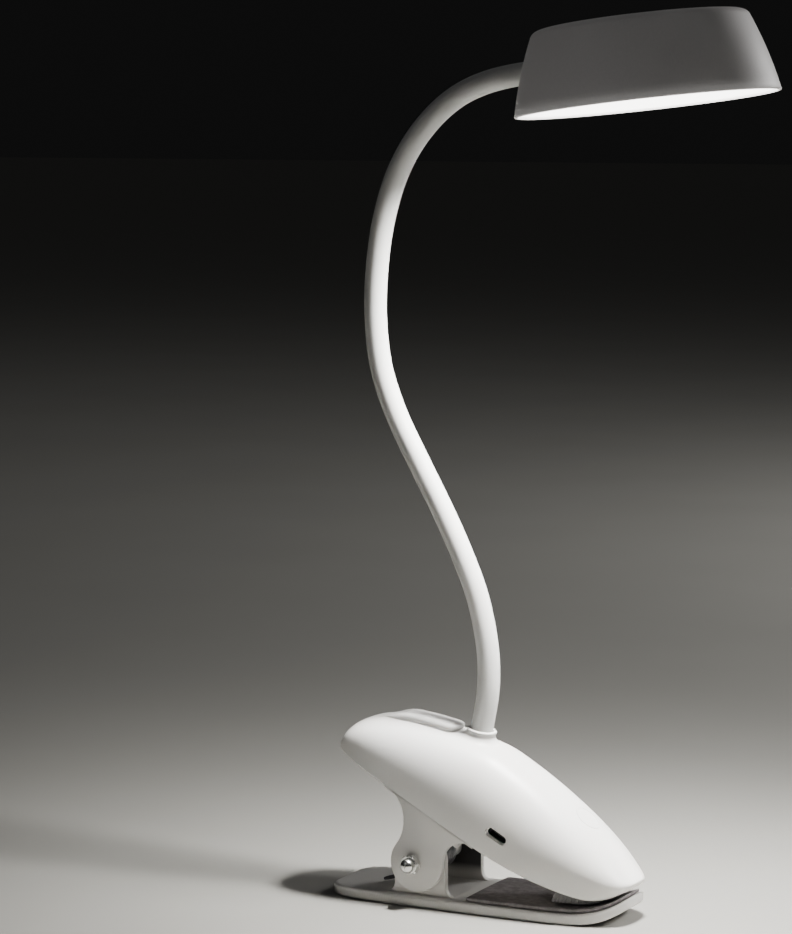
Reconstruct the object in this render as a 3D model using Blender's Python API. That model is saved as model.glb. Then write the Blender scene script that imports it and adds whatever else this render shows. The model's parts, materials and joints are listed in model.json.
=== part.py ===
"""Clip-on reading lamp: a sprung clip, a bendable neck and a round lamp head.

Frame: metres, +Z up, +X towards the jaw tips, +Y to the lamp's left. The origin is on the
underside of the lower jaw, straight below the hinge bolt. Lengths below are written in
millimetres times MM.
"""

import math

import bmesh
import bpy
from mathutils import Matrix, Vector

MM = 0.001
GAP = 0.3 * MM  # clearance between neighbouring pieces

# Hinge and clip.
HINGE_HEIGHT = 17.0 * MM
JAW_SLOPE = math.radians(28.5)
BOLT_RADIUS = 2.0 * MM
BOLT_HOLE_RADIUS = 2.35 * MM

# Lower jaw.
PLATE_REAR = -39.0 * MM
PLATE_FRONT = 85.0 * MM
PLATE_HALF_WIDTH = 20.6 * MM
PLATE_THICKNESS = 4.3 * MM
PLATE_EDGE = 0.8 * MM
TIP_START = 60.0 * MM
TIP_RISE = 6.4 * MM
LUG_OUTER = 17.1 * MM
LUG_INNER = 14.5 * MM
LUG_RADIUS = 11.0 * MM
LUG_CENTRE_X = 1.6 * MM
LUG_CENTRE_Z = 17.9 * MM

# Upper jaw, in a frame on the hinge axis whose x runs down the jaw towards its tip.
BODY_REAR = -53.2 * MM
BODY_FRONT = 76.5 * MM
BODY_HALF_WIDTH = 21.0 * MM
BODY_HEIGHT = 32.6 * MM
BODY_LOW = 20.4 * MM
BODY_WALL = 2.0 * MM
BELLY_START = 13.0 * MM
BELLY_CURVE = 2.65
HEEL_START = -15.0 * MM
HEEL_DROP = 1.1 * MM
NOSE_START = 60.0 * MM
NOSE_RISE = 6.3 * MM
CROWN_PEAK = 8.0 * MM
REAR_CROWN_SLOPE = 0.235
CROWN_EASE = 6.0 * MM
FRONT_CROWN_CURVE = 2.5
REAR_POWERS = (4.2, 3.2)
FRONT_POWERS = (3.4, 6.5)
SECTION_POWER = 2.55
SIDE_WALL = 5.0 * MM
EAR_OUTER = 20.3 * MM
EAR_INNER = 17.5 * MM
EAR_RADIUS = 11.1 * MM
EAR_CENTRE = (1.13 * MM, 0.84 * MM)
REAR_FILLET = 15.0 * MM
FRONT_FILLET = 9.0 * MM
BASE_TOP = 1.0 * MM  # the base plate's upper face, above the jaw's lower edge
BASE_DEPTH = 1.2 * MM  # and its lower face, below that edge
USB_PLACE = (24.4 * MM, 29.9 * MM)
CASE_SCREWS = [(-46.5 * MM, 7.5 * MM), (-46.5 * MM, -7.5 * MM), (56 * MM, 8.5 * MM), (56 * MM, -8.5 * MM)]

# Neck, a tube whose centre line lies in the lamp's middle plane.
COLLAR_TOP = Vector((19.7 * MM, 0.0, 67.9 * MM))
COLLAR_LEAN = math.radians(10.0)
COLLAR_RADIUS = 5.9 * MM
SLEEVE_RADIUS = 4.35 * MM
SLEEVE_BORE = 3.3 * MM
CORE_RADIUS = 2.85 * MM
CORE_BORE = 1.5 * MM
DOME_RADIUS = 6.0 * MM
LINKS = 8
FIRST_PIVOT = 9.0 * MM
NECK_ROUTE = [
    Vector((x * MM, 0.0, z * MM))
    for x, z in (
        (19.7, 67.9), (22.4, 84.0), (21.9, 100.0), (18.0, 118.0), (11.6, 134.0), (2.8, 151.5),
        (-8.2, 171.0), (-17.6, 188.5), (-24.0, 206.0), (-26.5, 225.0), (-25.9, 244.5),
        (-23.0, 263.0), (-17.2, 280.5), (-8.0, 295.5), (5.0, 307.9), (20.0, 315.2), (39.9, 319.1),
    )
]

# Head, in a frame at the centre of its rim whose z is the head's own axis.
HEAD_CENTRE = Vector((86.6 * MM, 0.0, 307.2 * MM))
HEAD_TILT = math.radians(6.8)
HEAD_RADIUS = 49.3 * MM
HEAD_INSET = 9.8 * MM
HEAD_HEIGHT = 30.9 * MM
HEAD_WALL = 1.8 * MM
HEAD_CROWN = 1.2 * MM
NECK_ENTRY = 17.3 * MM
BOARD_HEIGHT = 9.0 * MM
SCREW_ANGLES = [math.radians(a) for a in (60, 300, 0)]

WHITE = ("white_plastic", (0.86, 0.85, 0.84), 0.38, 0.0)
SLEEVE_WHITE = ("neck_silicone", (0.88, 0.88, 0.86), 0.5, 0.0)
HEAD_WHITE = ("head_plastic", (0.80, 0.79, 0.79), 0.45, 0.0)
OPAL = ("opal_diffuser", (0.97, 0.97, 0.95), 0.3, 0.0)
RUBBER = ("grey_rubber", (0.16, 0.15, 0.155), 0.8, 0.0)
ZINC = ("zinc_steel", (0.72, 0.72, 0.71), 0.25, 1.0)
SPRING_STEEL = ("spring_steel", (0.30, 0.30, 0.31), 0.35, 1.0)
BOARD_GREEN = ("circuit_board", (0.05, 0.22, 0.12), 0.5, 0.0)
CELL_FOIL = ("cell_foil", (0.70, 0.70, 0.72), 0.4, 0.8)
BRASS = ("brass", (0.78, 0.62, 0.33), 0.3, 1.0)


# ---------------------------------------------------------------- helpers


def clear_scene():
    for obj in list(bpy.data.objects):
        bpy.data.objects.remove(obj)


def material(finish):
    name, colour, roughness, metallic = finish
    made = bpy.data.materials.get(name)
    if made is None:
        made = bpy.data.materials.new(name)
        made.use_nodes = True
        shader = made.node_tree.nodes["Principled BSDF"]
        shader.inputs["Base Color"].default_value = (*colour, 1.0)
        shader.inputs["Roughness"].default_value = roughness
        shader.inputs["Metallic"].default_value = metallic
    return made


def solid(name, points, faces, finish, sharp=35.0):
    """An object from points and faces, turned to face outwards and shaded smooth."""
    mesh = bpy.data.meshes.new(name)
    mesh.from_pydata([tuple(p) for p in points], [], faces)
    work = bmesh.new()
    work.from_mesh(mesh)
    bmesh.ops.recalc_face_normals(work, faces=work.faces)
    work.to_mesh(mesh)
    work.free()
    mesh.shade_smooth()
    mesh.set_sharp_from_angle(angle=math.radians(sharp))
    mesh.materials.append(material(finish))
    obj = bpy.data.objects.new(name, mesh)
    bpy.context.scene.collection.objects.link(obj)
    return obj


def ring_faces(rings, count, closed=False):
    """Quads between neighbouring rings of the same number of points."""
    faces = []
    for i in range(rings if closed else rings - 1):
        a, b = i * count, ((i + 1) % rings) * count
        for j in range(count):
            k = (j + 1) % count
            faces.append((a + j, a + k, b + k, b + j))
    return faces


def loft(name, rings, finish, sharp=35.0):
    """A solid through rings of equal length, with a flat cap on each end."""
    count = len(rings[0])
    points = [p for ring in rings for p in ring]
    faces = ring_faces(len(rings), count)
    faces.append(tuple(range(count)))
    faces.append(tuple(range(len(points) - count, len(points))))
    return solid(name, points, faces, finish, sharp)


def turned(name, profile, finish, sides=32, sharp=35.0):
    """A closed profile of (radius, height) points turned about z. A radius of 0 closes it there."""
    rings = []
    for r, z in profile:
        rings.append([(r * math.cos(a), r * math.sin(a), z) for a in angles(sides)])
    if profile[0][0] > 0.0:
        points = [p for ring in rings for p in ring]
        return solid(name, points, ring_faces(len(rings), sides, closed=True), finish, sharp)
    return loft_to_poles(name, profile, rings[1:-1], finish, sharp)


def loft_to_poles(name, profile, rings, finish, sharp):
    """A turned solid whose first and last profile points lie on the axis."""
    count = len(rings[0])
    points = [p for ring in rings for p in ring]
    faces = ring_faces(len(rings), count)
    for z, start in ((profile[0][1], 0), (profile[-1][1], len(points) - count)):
        pole = len(points)
        points.append((0.0, 0.0, z))
        faces += [(pole, start + (j + 1) % count, start + j) for j in range(count)]
    return solid(name, points, faces, finish, sharp)


def angles(count, start=0.0):
    return [start + 2 * math.pi * i / count for i in range(count)]


def prism(name, outline, y_low, y_high, finish):
    """A plate cut to an (x, z) outline, between two heights along y."""
    rings = [[(x, y, z) for x, z in outline] for y in (y_low, y_high)]
    return loft(name, rings, finish)


def block(name, low, high, finish):
    (x0, y0, z0), (x1, y1, z1) = low, high
    return prism(name, [(x0, z0), (x1, z0), (x1, z1), (x0, z1)], y0, y1, finish)


def arc(centre, radius, start, end, steps):
    """Points on an arc, with its angles in degrees."""
    turn = [math.radians(start + (end - start) * i / steps) for i in range(steps + 1)]
    return [(centre[0] + radius * math.cos(a), centre[1] + radius * math.sin(a)) for a in turn]


def combine(target, tools, operation):
    """Applies an exact Boolean with each tool to the target, and removes the tools."""
    for tool in tools:
        cut = target.modifiers.new(operation.lower(), "BOOLEAN")
        cut.operation = operation
        cut.solver = "EXACT"
        cut.object = tool
        tool.hide_render = True
        tool.display_type = "WIRE"
        graph = bpy.context.evaluated_depsgraph_get()
        mesh = bpy.data.meshes.new_from_object(target.evaluated_get(graph))
        target.modifiers.clear()
        target.data = mesh
        bpy.data.objects.remove(tool)
    finish_mesh(target.data)
    return target


def finish_mesh(mesh):
    """Welds what a Boolean left in pieces and sets the shading again."""
    work = bmesh.new()
    work.from_mesh(mesh)
    bmesh.ops.remove_doubles(work, verts=work.verts, dist=0.01 * MM)
    bmesh.ops.dissolve_degenerate(work, edges=work.edges, dist=0.01 * MM)
    work.to_mesh(mesh)
    work.free()
    mesh.shade_smooth()
    mesh.set_sharp_from_angle(angle=math.radians(35.0))


def move(obj, matrix):
    obj.data.transform(matrix)
    return obj


def empty(name, location, rotation_y, parent=None):
    """An empty that carries a moving body, placed on its joint's axis."""
    made = bpy.data.objects.new(name, None)
    made.empty_display_size = 10 * MM
    bpy.context.scene.collection.objects.link(made)
    world = Matrix.Translation(location) @ Matrix.Rotation(rotation_y, 4, "Y")
    made.parent = parent
    made.matrix_basis = world_of(parent).inverted() @ world if parent else world
    return made


def world_of(obj):
    """World matrix of an object whose parents have no inverse matrix of their own."""
    return world_of(obj.parent) @ obj.matrix_basis if obj.parent else obj.matrix_basis.copy()


def carry(parent, *objects):
    """Parents objects whose meshes are modelled in the parent's own frame."""
    for obj in objects:
        obj.parent = parent


def carry_world(parent, *objects):
    """Parents objects whose meshes are modelled in world coordinates."""
    for obj in objects:
        obj.data.transform(world_of(parent).inverted())
        obj.parent = parent


# ---------------------------------------------------------------- lower jaw


def tip_rise(x):
    """Height of the plate's underside at x: flat, then turned up towards the tip."""
    run = max(0.0, (x - TIP_START) / (PLATE_FRONT - TIP_START))
    return TIP_RISE * run**3


def plate_half_width(x, inset=0.0):
    """Half the plate's width at x, for an outline moved in by inset."""
    middle = (PLATE_REAR + PLATE_FRONT) / 2
    half = (PLATE_FRONT - PLATE_REAR) / 2 - inset
    along = min(1.0, abs(x - middle) / half)
    power = 5.5 if x < middle else 3.4
    return (PLATE_HALF_WIDTH - inset) * (1 - along**power) ** (1 / power)


def plate_sections(name, rear, front, steps, layers, finish):
    """A slab over the plate's plan, as layers of (inset, height above the plate's underside)."""
    rings = []
    for i in range(steps + 1):
        x = rear + (front - rear) * (1 - math.cos(math.pi * i / steps)) / 2
        x = min(max(x, rear + 0.05 * MM), front - 0.05 * MM)
        z = tip_rise(x)
        left = [(x, plate_half_width(x, inset), z + height) for inset, height in layers]
        right = [(px, -py, pz) for px, py, pz in reversed(left)]
        rings.append(left + right)
    return loft(name, rings, finish)


def lug(side):
    """One inner hinge ear of the lower jaw, with feet that flare into the plate."""
    foot = PLATE_THICKNESS - 0.6 * MM
    front = LUG_CENTRE_X + LUG_RADIUS
    rear = LUG_CENTRE_X - LUG_RADIUS
    flare = 4.0 * MM
    outline = arc((front + flare, foot + flare + 0.6 * MM), flare, 270, 180, 5)
    outline += arc((LUG_CENTRE_X, LUG_CENTRE_Z), LUG_RADIUS, 0, 180, 16)
    outline += arc((rear - flare, foot + flare + 0.6 * MM), flare, 0, -90, 5)
    outline += [(rear - flare, foot), (front + flare, foot)]
    low, high = sorted((side * LUG_INNER, side * LUG_OUTER))
    return prism("lug", outline, low, high, WHITE)


def cross_bore(name, radius, half_length, x, z, sides=24):
    """A round bar along y, to cut a bolt hole."""
    rings = []
    for y in (-half_length, half_length):
        rings.append([(x + radius * math.cos(a), y, z + radius * math.sin(a)) for a in angles(sides)])
    return loft(name, rings, ZINC)


def build_lower_jaw():
    edge = PLATE_EDGE
    top = PLATE_THICKNESS
    layers = [(edge, 0.0), (0.0, edge), (0.0, top - edge), (edge, top)]
    plate = plate_sections("lower_jaw", PLATE_REAR, PLATE_FRONT, 30, layers, WHITE)
    combine(plate, [lug(1), lug(-1)], "UNION")
    bore = cross_bore("bore", BOLT_HOLE_RADIUS, 25 * MM, 0.0, HINGE_HEIGHT)
    combine(plate, [bore], "DIFFERENCE")

    inset = 1.6 * MM
    low, high = top + GAP, top + GAP + 1.4 * MM
    layers = [(inset, low), (inset, high - 0.4 * MM), (inset + 0.4 * MM, high)]
    lining = plate_sections("lower_pad", 22 * MM, PLATE_FRONT - inset, 20, layers, RUBBER)
    return [plate, lining]


# ---------------------------------------------------------------- hinge


def build_hinge():
    """Bolt with its head on the far side, dome nut on the near side, and the bush between the lugs."""
    face = EAR_OUTER + GAP
    turn = Matrix.Translation((0, 0, HINGE_HEIGHT)) @ Matrix.Rotation(math.radians(90), 4, "X")

    reach = face + 3.6 * MM
    head = [(0.0, -face - 2.6 * MM), (2.6 * MM, -face - 2.6 * MM), (3.7 * MM, -face - 1.4 * MM),
            (3.7 * MM, -face), (BOLT_RADIUS, -face), (BOLT_RADIUS, reach), (0.0, reach)]
    bolt = move(turned("hinge_bolt", head, ZINC, sides=24), turn)

    flat = 7.0 / math.sqrt(3) * MM
    low, high = face, face + 3.0 * MM
    rings = []
    for radius, z in ((flat, low), (flat, high), (flat * 0.9, high + 0.35 * MM)):
        rings.append([(radius * math.cos(a), radius * math.sin(a), z) for a in angles(6, 0.2)])
    nut = loft("hinge_nut", rings, ZINC, sharp=20.0)
    dome = [(0.0, high - 0.5 * MM), (2.75 * MM, high - 0.5 * MM), (2.75 * MM, high + 1.2 * MM),
            (2.45 * MM, high + 2.3 * MM), (1.6 * MM, high + 3.1 * MM), (0.0, high + 3.5 * MM)]
    combine(nut, [turned("dome", dome, ZINC, sides=20)], "UNION")
    drill = [(0.0, low - 1 * MM), (BOLT_RADIUS + 0.1 * MM, low - 1 * MM),
             (BOLT_RADIUS + 0.1 * MM, reach + GAP), (0.0, reach + GAP)]
    combine(nut, [turned("drill", drill, ZINC, sides=24)], "DIFFERENCE")
    move(nut, turn)

    half = LUG_INNER - GAP
    tube = [(BOLT_HOLE_RADIUS, -half), (4.1 * MM, -half), (4.1 * MM, half), (BOLT_HOLE_RADIUS, half)]
    bush = move(turned("hinge_bush", tube, WHITE, sides=24), turn)
    return [bolt, nut, bush]


def sweep(name, path, radius, sides, finish):
    """A round bar along a path, its sections turned the least from one point to the next."""
    rings = []
    side = Vector((0, 1, 0))
    for i, point in enumerate(path):
        ahead = (path[min(i + 1, len(path) - 1)] - path[max(i - 1, 0)]).normalized()
        side = (side - ahead * side.dot(ahead)).normalized()
        up = ahead.cross(side)
        rings.append([point + (side * math.cos(a) + up * math.sin(a)) * radius for a in angles(sides)])
    return loft(name, rings, finish)


def build_spring():
    """Torsion spring round the bush: its legs push the two rear grips apart."""
    mean, wire, turns, steps = 5.5 * MM, 0.8 * MM, 5, 11
    pitch = 2 * wire + 0.35 * MM
    start = math.radians(-76)
    total = math.radians(98) + 2 * math.pi * turns
    count = round(total / (2 * math.pi) * steps)
    span = pitch * total / (2 * math.pi)
    centre = Vector((0, 0, HINGE_HEIGHT))
    coil = []
    for i in range(count + 1):
        a = start + total * i / count
        coil.append(centre + Vector((mean * math.cos(a), span * (i / count - 0.5), mean * math.sin(a))))

    def leg(root, heading, length, rise):
        """Points that leave the coil along its tangent, out to the tip of the leg."""
        ahead = Vector((math.cos(heading), 0, math.sin(heading)))
        return [root + ahead * length * t + Vector((0, 0, rise * t * t)) for t in (0.3, 0.65, 1.0)]

    lower = leg(coil[0], start - math.pi / 2, 22 * MM, -0.7 * MM)
    upper = leg(coil[-1], start + total + math.pi / 2, 21.3 * MM, 0.0)
    return [sweep("torsion_spring", list(reversed(lower)) + coil + upper, wire, 6, SPRING_STEEL)]


# ---------------------------------------------------------------- upper jaw


def belly(u):
    """Height of the upper jaw's lower edge: it drops a little at the heel and curves up to the tip."""
    run = max(0.0, u - BELLY_START)
    nose = max(0.0, (u - NOSE_START) / (BODY_FRONT - NOSE_START))
    heel = max(0.0, (HEEL_START - u) / (HEEL_START - BODY_REAR))
    return BODY_LOW + BELLY_CURVE * run * run + NOSE_RISE * nose**3 - HEEL_DROP * heel**2


def crown_line(u):
    """Height of the crown before the ends close it: almost straight to the rear, arched to the front."""
    ahead = u - CROWN_PEAK
    if ahead > 0:
        return BODY_LOW + BODY_HEIGHT - FRONT_CROWN_CURVE * ahead**2
    return BODY_LOW + BODY_HEIGHT - REAR_CROWN_SLOPE * (math.hypot(ahead, CROWN_EASE) - CROWN_EASE)


def body_section(u, inset=0.0, count=22, floor=None):
    """The jaw's section at u: flat below, upright sides, and a crown across the top."""
    middle = (BODY_REAR + BODY_FRONT) / 2
    half = (BODY_FRONT - BODY_REAR) / 2 - inset
    along = min(1.0, abs(u - middle) / half)
    plan, top = REAR_POWERS if u < middle else FRONT_POWERS
    width = (BODY_HALF_WIDTH - inset) * (1 - along**plan) ** (1 / plan)
    low = belly(u)
    crown = crown_line(u) - inset
    height = (crown - low) * (1 - along**top) ** (1 / top)
    wall = min(SIDE_WALL, height * 0.3)
    ring = []
    for i in range(count + 1):
        a = math.pi * i / count
        c, s = math.cos(a), math.sin(a)
        y = width * math.copysign(abs(c) ** (2 / SECTION_POWER), c)
        ring.append((u, y, low + wall + (height - wall) * s ** (2 / SECTION_POWER)))
    bottom = low if floor is None else floor
    return ring + [(u, -width, bottom), (u, width, bottom)]


def body_stations(inset, steps):
    rear, front = BODY_REAR + inset, BODY_FRONT - inset
    middle, half = (rear + front) / 2, (front - rear) / 2
    reach = 0.9985
    return [middle - half * reach * math.cos(math.pi * i / steps) for i in range(steps + 1)]


def body_solid(name, inset, steps, count, floor=None):
    rings = [body_section(u, inset, count, floor) for u in body_stations(inset, steps)]
    return loft(name, rings, WHITE)


def crown_height(u):
    """Height of the jaw's top in its middle plane."""
    return max(z for _, _, z in body_section(u))


def skin_height(u, y):
    """Height of the jaw's outer skin above a point (u, y) of its plan."""
    ring = body_section(u)[:-2]
    for (_, y0, z0), (_, y1, z1) in zip(ring, ring[1:]):
        if min(y0, y1) <= y <= max(y0, y1):
            return z0 + (z1 - z0) * (y - y0) / (y1 - y0)
    return belly(u)


def spine():
    """The raised thumb rest: flush at the rear, standing proud where it ends behind the neck."""
    rear, front, half, blunt = -48.0 * MM, -14.3 * MM, 6.0 * MM, 4.0 * MM
    steps = 15
    rings = []
    for i in range(steps + 1):
        t = i / steps
        u = rear + (front - rear) * t
        rise = min(1.0, t / 0.4)
        proud = 3.2 * MM * rise * rise * (3 - 2 * rise) - 0.6 * MM
        nose = max(0.0, (u - (front - blunt)) / blunt)
        width = half * math.sqrt(max(0.03, 1 - nose * nose)) * min(1.0, 0.55 + 1.4 * t)
        top = crown_height(u) + proud
        low = crown_height(u) - 4.5 * MM
        side = top - 1.1 * MM
        flat = width * 0.62
        rings.append([(u, width, low), (u, width, side), (u, flat, top), (u, -flat, top),
                      (u, -width, side), (u, -width, low)])
    return loft("spine", rings, WHITE)


def collar_matrix():
    """From the collar's own frame, on its top face, to the jaw's frame."""
    world = Matrix.Translation(COLLAR_TOP) @ Matrix.Rotation(COLLAR_LEAN, 4, "Y")
    hinge = Matrix.Translation((0, 0, HINGE_HEIGHT)) @ Matrix.Rotation(JAW_SLOPE, 4, "Y")
    return hinge.inverted() @ world


def ear_outline(top):
    """The outer hinge ear: round about the bolt, with a concave fillet up to the jaw on each side."""
    cx, cz = EAR_CENTRE

    def fillet(radius, side):
        drop = top - radius - cz
        return cx + side * math.sqrt((EAR_RADIUS + radius) ** 2 - drop**2), top - radius

    rear, front = fillet(REAR_FILLET, -1), fillet(FRONT_FILLET, 1)
    rear_angle = math.degrees(math.atan2(cz - rear[1], cx - rear[0]))
    front_angle = math.degrees(math.atan2(cz - front[1], cx - front[0])) + 360
    outline = arc(rear, REAR_FILLET, 90, rear_angle, 9)
    outline += arc(EAR_CENTRE, EAR_RADIUS, rear_angle + 180, front_angle + 180, 20)[1:-1]
    outline += arc(front, FRONT_FILLET, front_angle, 90, 8)
    return outline


def build_cover():
    cover = body_solid("upper_cover", 0.0, 24, 20)
    place = collar_matrix()
    boss = [(0.0, -14 * MM), (7.6 * MM, -14 * MM), (7.2 * MM, -6.2 * MM), (6.0 * MM, -4.6 * MM),
            (5.7 * MM, -3.2 * MM), (5.6 * MM, -0.9 * MM), (0.0, -0.9 * MM)]
    combine(cover, [spine(), move(turned("boss", boss, WHITE, sides=24), place)], "UNION")
    hollow = body_solid("hollow", BODY_WALL, 20, 14, floor=BODY_LOW - 8 * MM)
    room, hole = COLLAR_RADIUS + GAP, SLEEVE_RADIUS + GAP
    bore = [(0.0, -30 * MM), (hole, -30 * MM), (hole, -1.3 * MM), (room, -1.3 * MM),
            (room, 7 * MM), (0.0, 7 * MM)]
    neck_hole = move(turned("neck_hole", bore, WHITE, sides=24), place)
    combine(cover, [hollow, neck_hole, usb_slot()], "DIFFERENCE")
    posts, holes = [], []
    for u, y in CASE_SCREWS:
        reach = 2.5 * MM
        low = max(belly(u - reach), belly(u + reach)) + BASE_TOP + GAP
        high = skin_height(u, y) - 1.0 * MM
        post = [(0.0, low), (reach, low), (reach + 0.2 * MM, high), (0.0, high)]
        posts.append(move(turned("post", post, WHITE, sides=12), Matrix.Translation((u, y, 0))))
        hole = [(0.0, low - MM), (1.3 * MM, low - MM), (1.3 * MM, low + 8 * MM), (0.0, low + 8 * MM)]
        holes.append(move(turned("hole", hole, WHITE, sides=12), Matrix.Translation((u, y, 0))))
    combine(cover, posts, "UNION")
    return combine(cover, holes, "DIFFERENCE")


def usb_outline(half_length, half_height):
    """A slot's outline with round ends, about the USB inlet's centre."""
    u, w = USB_PLACE
    run = half_length - half_height
    right = arc((u + run, w), half_height, -90, 90, 6)
    return right + arc((u - run, w), half_height, 90, 270, 6)


def usb_slot():
    return prism("slot", usb_outline(4.3 * MM, 1.5 * MM), -24 * MM, -16 * MM, WHITE)


def build_base():
    """The shell that closes the jaw from below, with its two hinge ears."""
    inset = BODY_WALL + GAP
    rings = []
    for u in body_stations(inset, 20):
        width = body_section(u, inset)[0][1]
        low, high = belly(u) - BASE_DEPTH, belly(u) + BASE_TOP
        rings.append([(u, width, low), (u, width, high), (u, -width, high), (u, -width, low)])
    base = loft("upper_base", rings, WHITE)
    extra = []
    for side in (1, -1):
        low, high = sorted((side * EAR_INNER, side * EAR_OUTER))
        extra.append(prism("ear", ear_outline(BODY_LOW - GAP), low, high, WHITE))
        low, high = sorted((side * 15.2 * MM, side * 18.4 * MM))
        extra.append(block("gusset", (-10 * MM, low, 15.2 * MM), (12 * MM, high, 21.0 * MM), WHITE))
    combine(base, extra, "UNION")
    tools = [cross_bore("bore", BOLT_HOLE_RADIUS, 25 * MM, 0.0, 0.0)]
    tools += [screw_hole(u, y) for u, y in CASE_SCREWS]
    combine(base, tools, "DIFFERENCE")
    return base


def screw_hole(u, y):
    profile = [(0.0, -9 * MM), (1.3 * MM, -9 * MM), (1.3 * MM, 9 * MM), (0.0, 9 * MM)]
    return move(turned("hole", profile, WHITE, sides=12), Matrix.Translation((u, y, belly(u))))


def screw(name, place, head_radius, shank_radius, length):
    """A pan-head screw whose head stands below z = 0 and whose shank runs up."""
    profile = [(0.0, -1.5 * MM), (head_radius * 0.7, -1.5 * MM), (head_radius, -0.7 * MM),
               (head_radius, 0.0), (shank_radius, 0.0), (shank_radius, length), (0.0, length + 0.6 * MM)]
    return move(turned(name, profile, ZINC, sides=12), place)


def build_case_screws():
    made = []
    for number, (u, y) in enumerate(CASE_SCREWS, 1):
        head_seat = min(belly(u - 2.2 * MM), belly(u + 2.2 * MM)) - BASE_DEPTH - GAP
        place = Matrix.Translation((u, y, head_seat))
        made.append(screw(f"case_screw_{number}", place, 2.1 * MM, 1.0 * MM, 9 * MM))
    return made


def build_upper_pad():
    """The rubber grip under the upper jaw's tip: its foot follows the lower jaw's lining."""
    slope = Matrix.Translation((0, 0, HINGE_HEIGHT)) @ Matrix.Rotation(JAW_SLOPE, 4, "Y")
    back = slope.inverted()
    inset = 3.6 * MM
    rear, front = 54 * MM, BODY_FRONT - inset - 0.1 * MM
    rings = []
    for i in range(13):
        u = rear + (front - rear) * math.sin(math.pi / 2 * i / 12)
        width = body_section(u, inset)[0][1]
        top = belly(u) - BASE_DEPTH - GAP
        x = (slope @ Vector((u, 0, top))).x
        rest = tip_rise(x) + PLATE_THICKNESS + 1.4 * MM + 2 * GAP
        foot = (back @ Vector((x, 0, rest))).z
        foot = min(foot, top - 0.4 * MM)
        rings.append([(u, width, top), (u, width, foot), (u, -width, foot), (u, -width, top)])
    pad = loft("upper_pad", rings, RUBBER)
    pockets = [screw_pocket(u, y) for u, y in CASE_SCREWS if u > 0]
    return combine(pad, pockets, "DIFFERENCE")


def screw_pocket(u, y):
    profile = [(0.0, -2.9 * MM), (2.5 * MM, -2.9 * MM), (2.5 * MM, 4 * MM), (0.0, 4 * MM)]
    place = Matrix.Translation((u, y, belly(u) - BASE_DEPTH))
    return move(turned("pocket", profile, RUBBER, sides=12), place)


def build_battery():
    """A flat pouch cell on a strip of foam tape."""
    low = belly(0) + BASE_TOP + GAP
    tape = block("battery_tape", (-40 * MM, -11 * MM, low), (0, 11 * MM, low + 0.6 * MM), RUBBER)
    low += 0.6 * MM + GAP
    corner = 2 * MM
    side, high = 14 * MM - corner, low + 7.6 * MM - corner
    section = []
    centres = ((side, low + corner), (side, high), (-side, high), (-side, low + corner))
    for quarter, centre in enumerate(centres):
        section += arc(centre, corner, 90 * quarter - 90, 90 * quarter, 3)
    rings = [[(u, y, z) for y, z in section] for u in (-43 * MM, 3 * MM)]
    return [tape, loft("battery_cell", rings, CELL_FOIL)]


def build_control_board(top):
    """The circuit board, with a chip and an inductor as the tall parts on it."""
    board = block("control_board", (7 * MM, -16.5 * MM, top - 1.6 * MM), (46 * MM, 13 * MM, top), BOARD_GREEN)
    sunk = top - 0.4 * MM
    chip = block("chip", (12 * MM, -6 * MM, sunk), (18 * MM, 2 * MM, top + 1.0 * MM), BOARD_GREEN)
    coil = block("coil", (27 * MM, 2 * MM, sunk), (33 * MM, 8 * MM, top + 2.6 * MM), BOARD_GREEN)
    return combine(board, [chip, coil], "UNION")


def build_usb_connector():
    """The inlet's steel shell, its mouth towards the jaw's near side, with the contact tongue."""
    u, w = USB_PLACE

    def piece(half, rear, front, low, high):
        return block("usb_connector", (u - half, front, w + low), (u + half, rear, w + high), ZINC)

    shell = piece(3.9 * MM, -14.0 * MM, -18.4 * MM, -1.35 * MM, 1.2 * MM)
    mouth = piece(3.5 * MM, -14.6 * MM, -19.0 * MM, -1.0 * MM, 0.85 * MM)
    combine(shell, [mouth], "DIFFERENCE")
    return combine(shell, [piece(2.2 * MM, -14.4 * MM, -17.8 * MM, -0.1 * MM, 0.5 * MM)], "UNION")


def build_touch(board_top):
    """The touch switch's plate under the skin, and the spring that joins it to the board."""
    touch = 40.0 * MM
    ceiling = crown_height(touch) - BODY_WALL
    disc = [(0.0, -1.9 * MM), (6.0 * MM, -1.9 * MM), (6.0 * MM, -1.1 * MM), (0.0, -1.1 * MM)]
    tilt = math.atan((crown_height(touch - MM) - crown_height(touch + MM)) / (2 * MM))
    place = Matrix.Translation((touch, 0, ceiling)) @ Matrix.Rotation(tilt, 4, "Y")
    plate = move(turned("touch_plate", disc, BRASS, sides=20), place)
    foot, head = board_top + 0.6 * MM, ceiling - 3.6 * MM
    turns, steps = 4, 32
    coil = []
    for i in range(steps + 1):
        t = i / steps
        a = 2 * math.pi * turns * t
        radius = (3.4 - 1.4 * t) * MM
        coil.append(Vector((touch + radius * math.cos(a), radius * math.sin(a), foot + (head - foot) * t)))
    return [plate, sweep("touch_spring", coil, 0.3 * MM, 4, SPRING_STEEL)]


def build_electronics():
    board_top = USB_PLACE[1] - 1.35 * MM - GAP
    return [*build_battery(), build_control_board(board_top), build_usb_connector(), *build_touch(board_top)]


def build_collar():
    """The ring that finishes the boss where the neck comes out."""
    place = collar_matrix()
    bore = SLEEVE_RADIUS + GAP
    ring = [(bore, -1.0 * MM), (COLLAR_RADIUS - 0.2 * MM, -1.0 * MM), (COLLAR_RADIUS, -0.6 * MM),
            (COLLAR_RADIUS - 0.1 * MM, 0.0), (bore + 0.25 * MM, 0.1 * MM), (bore, -0.2 * MM)]
    return move(turned("neck_collar", ring, WHITE, sides=24), place)


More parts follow.
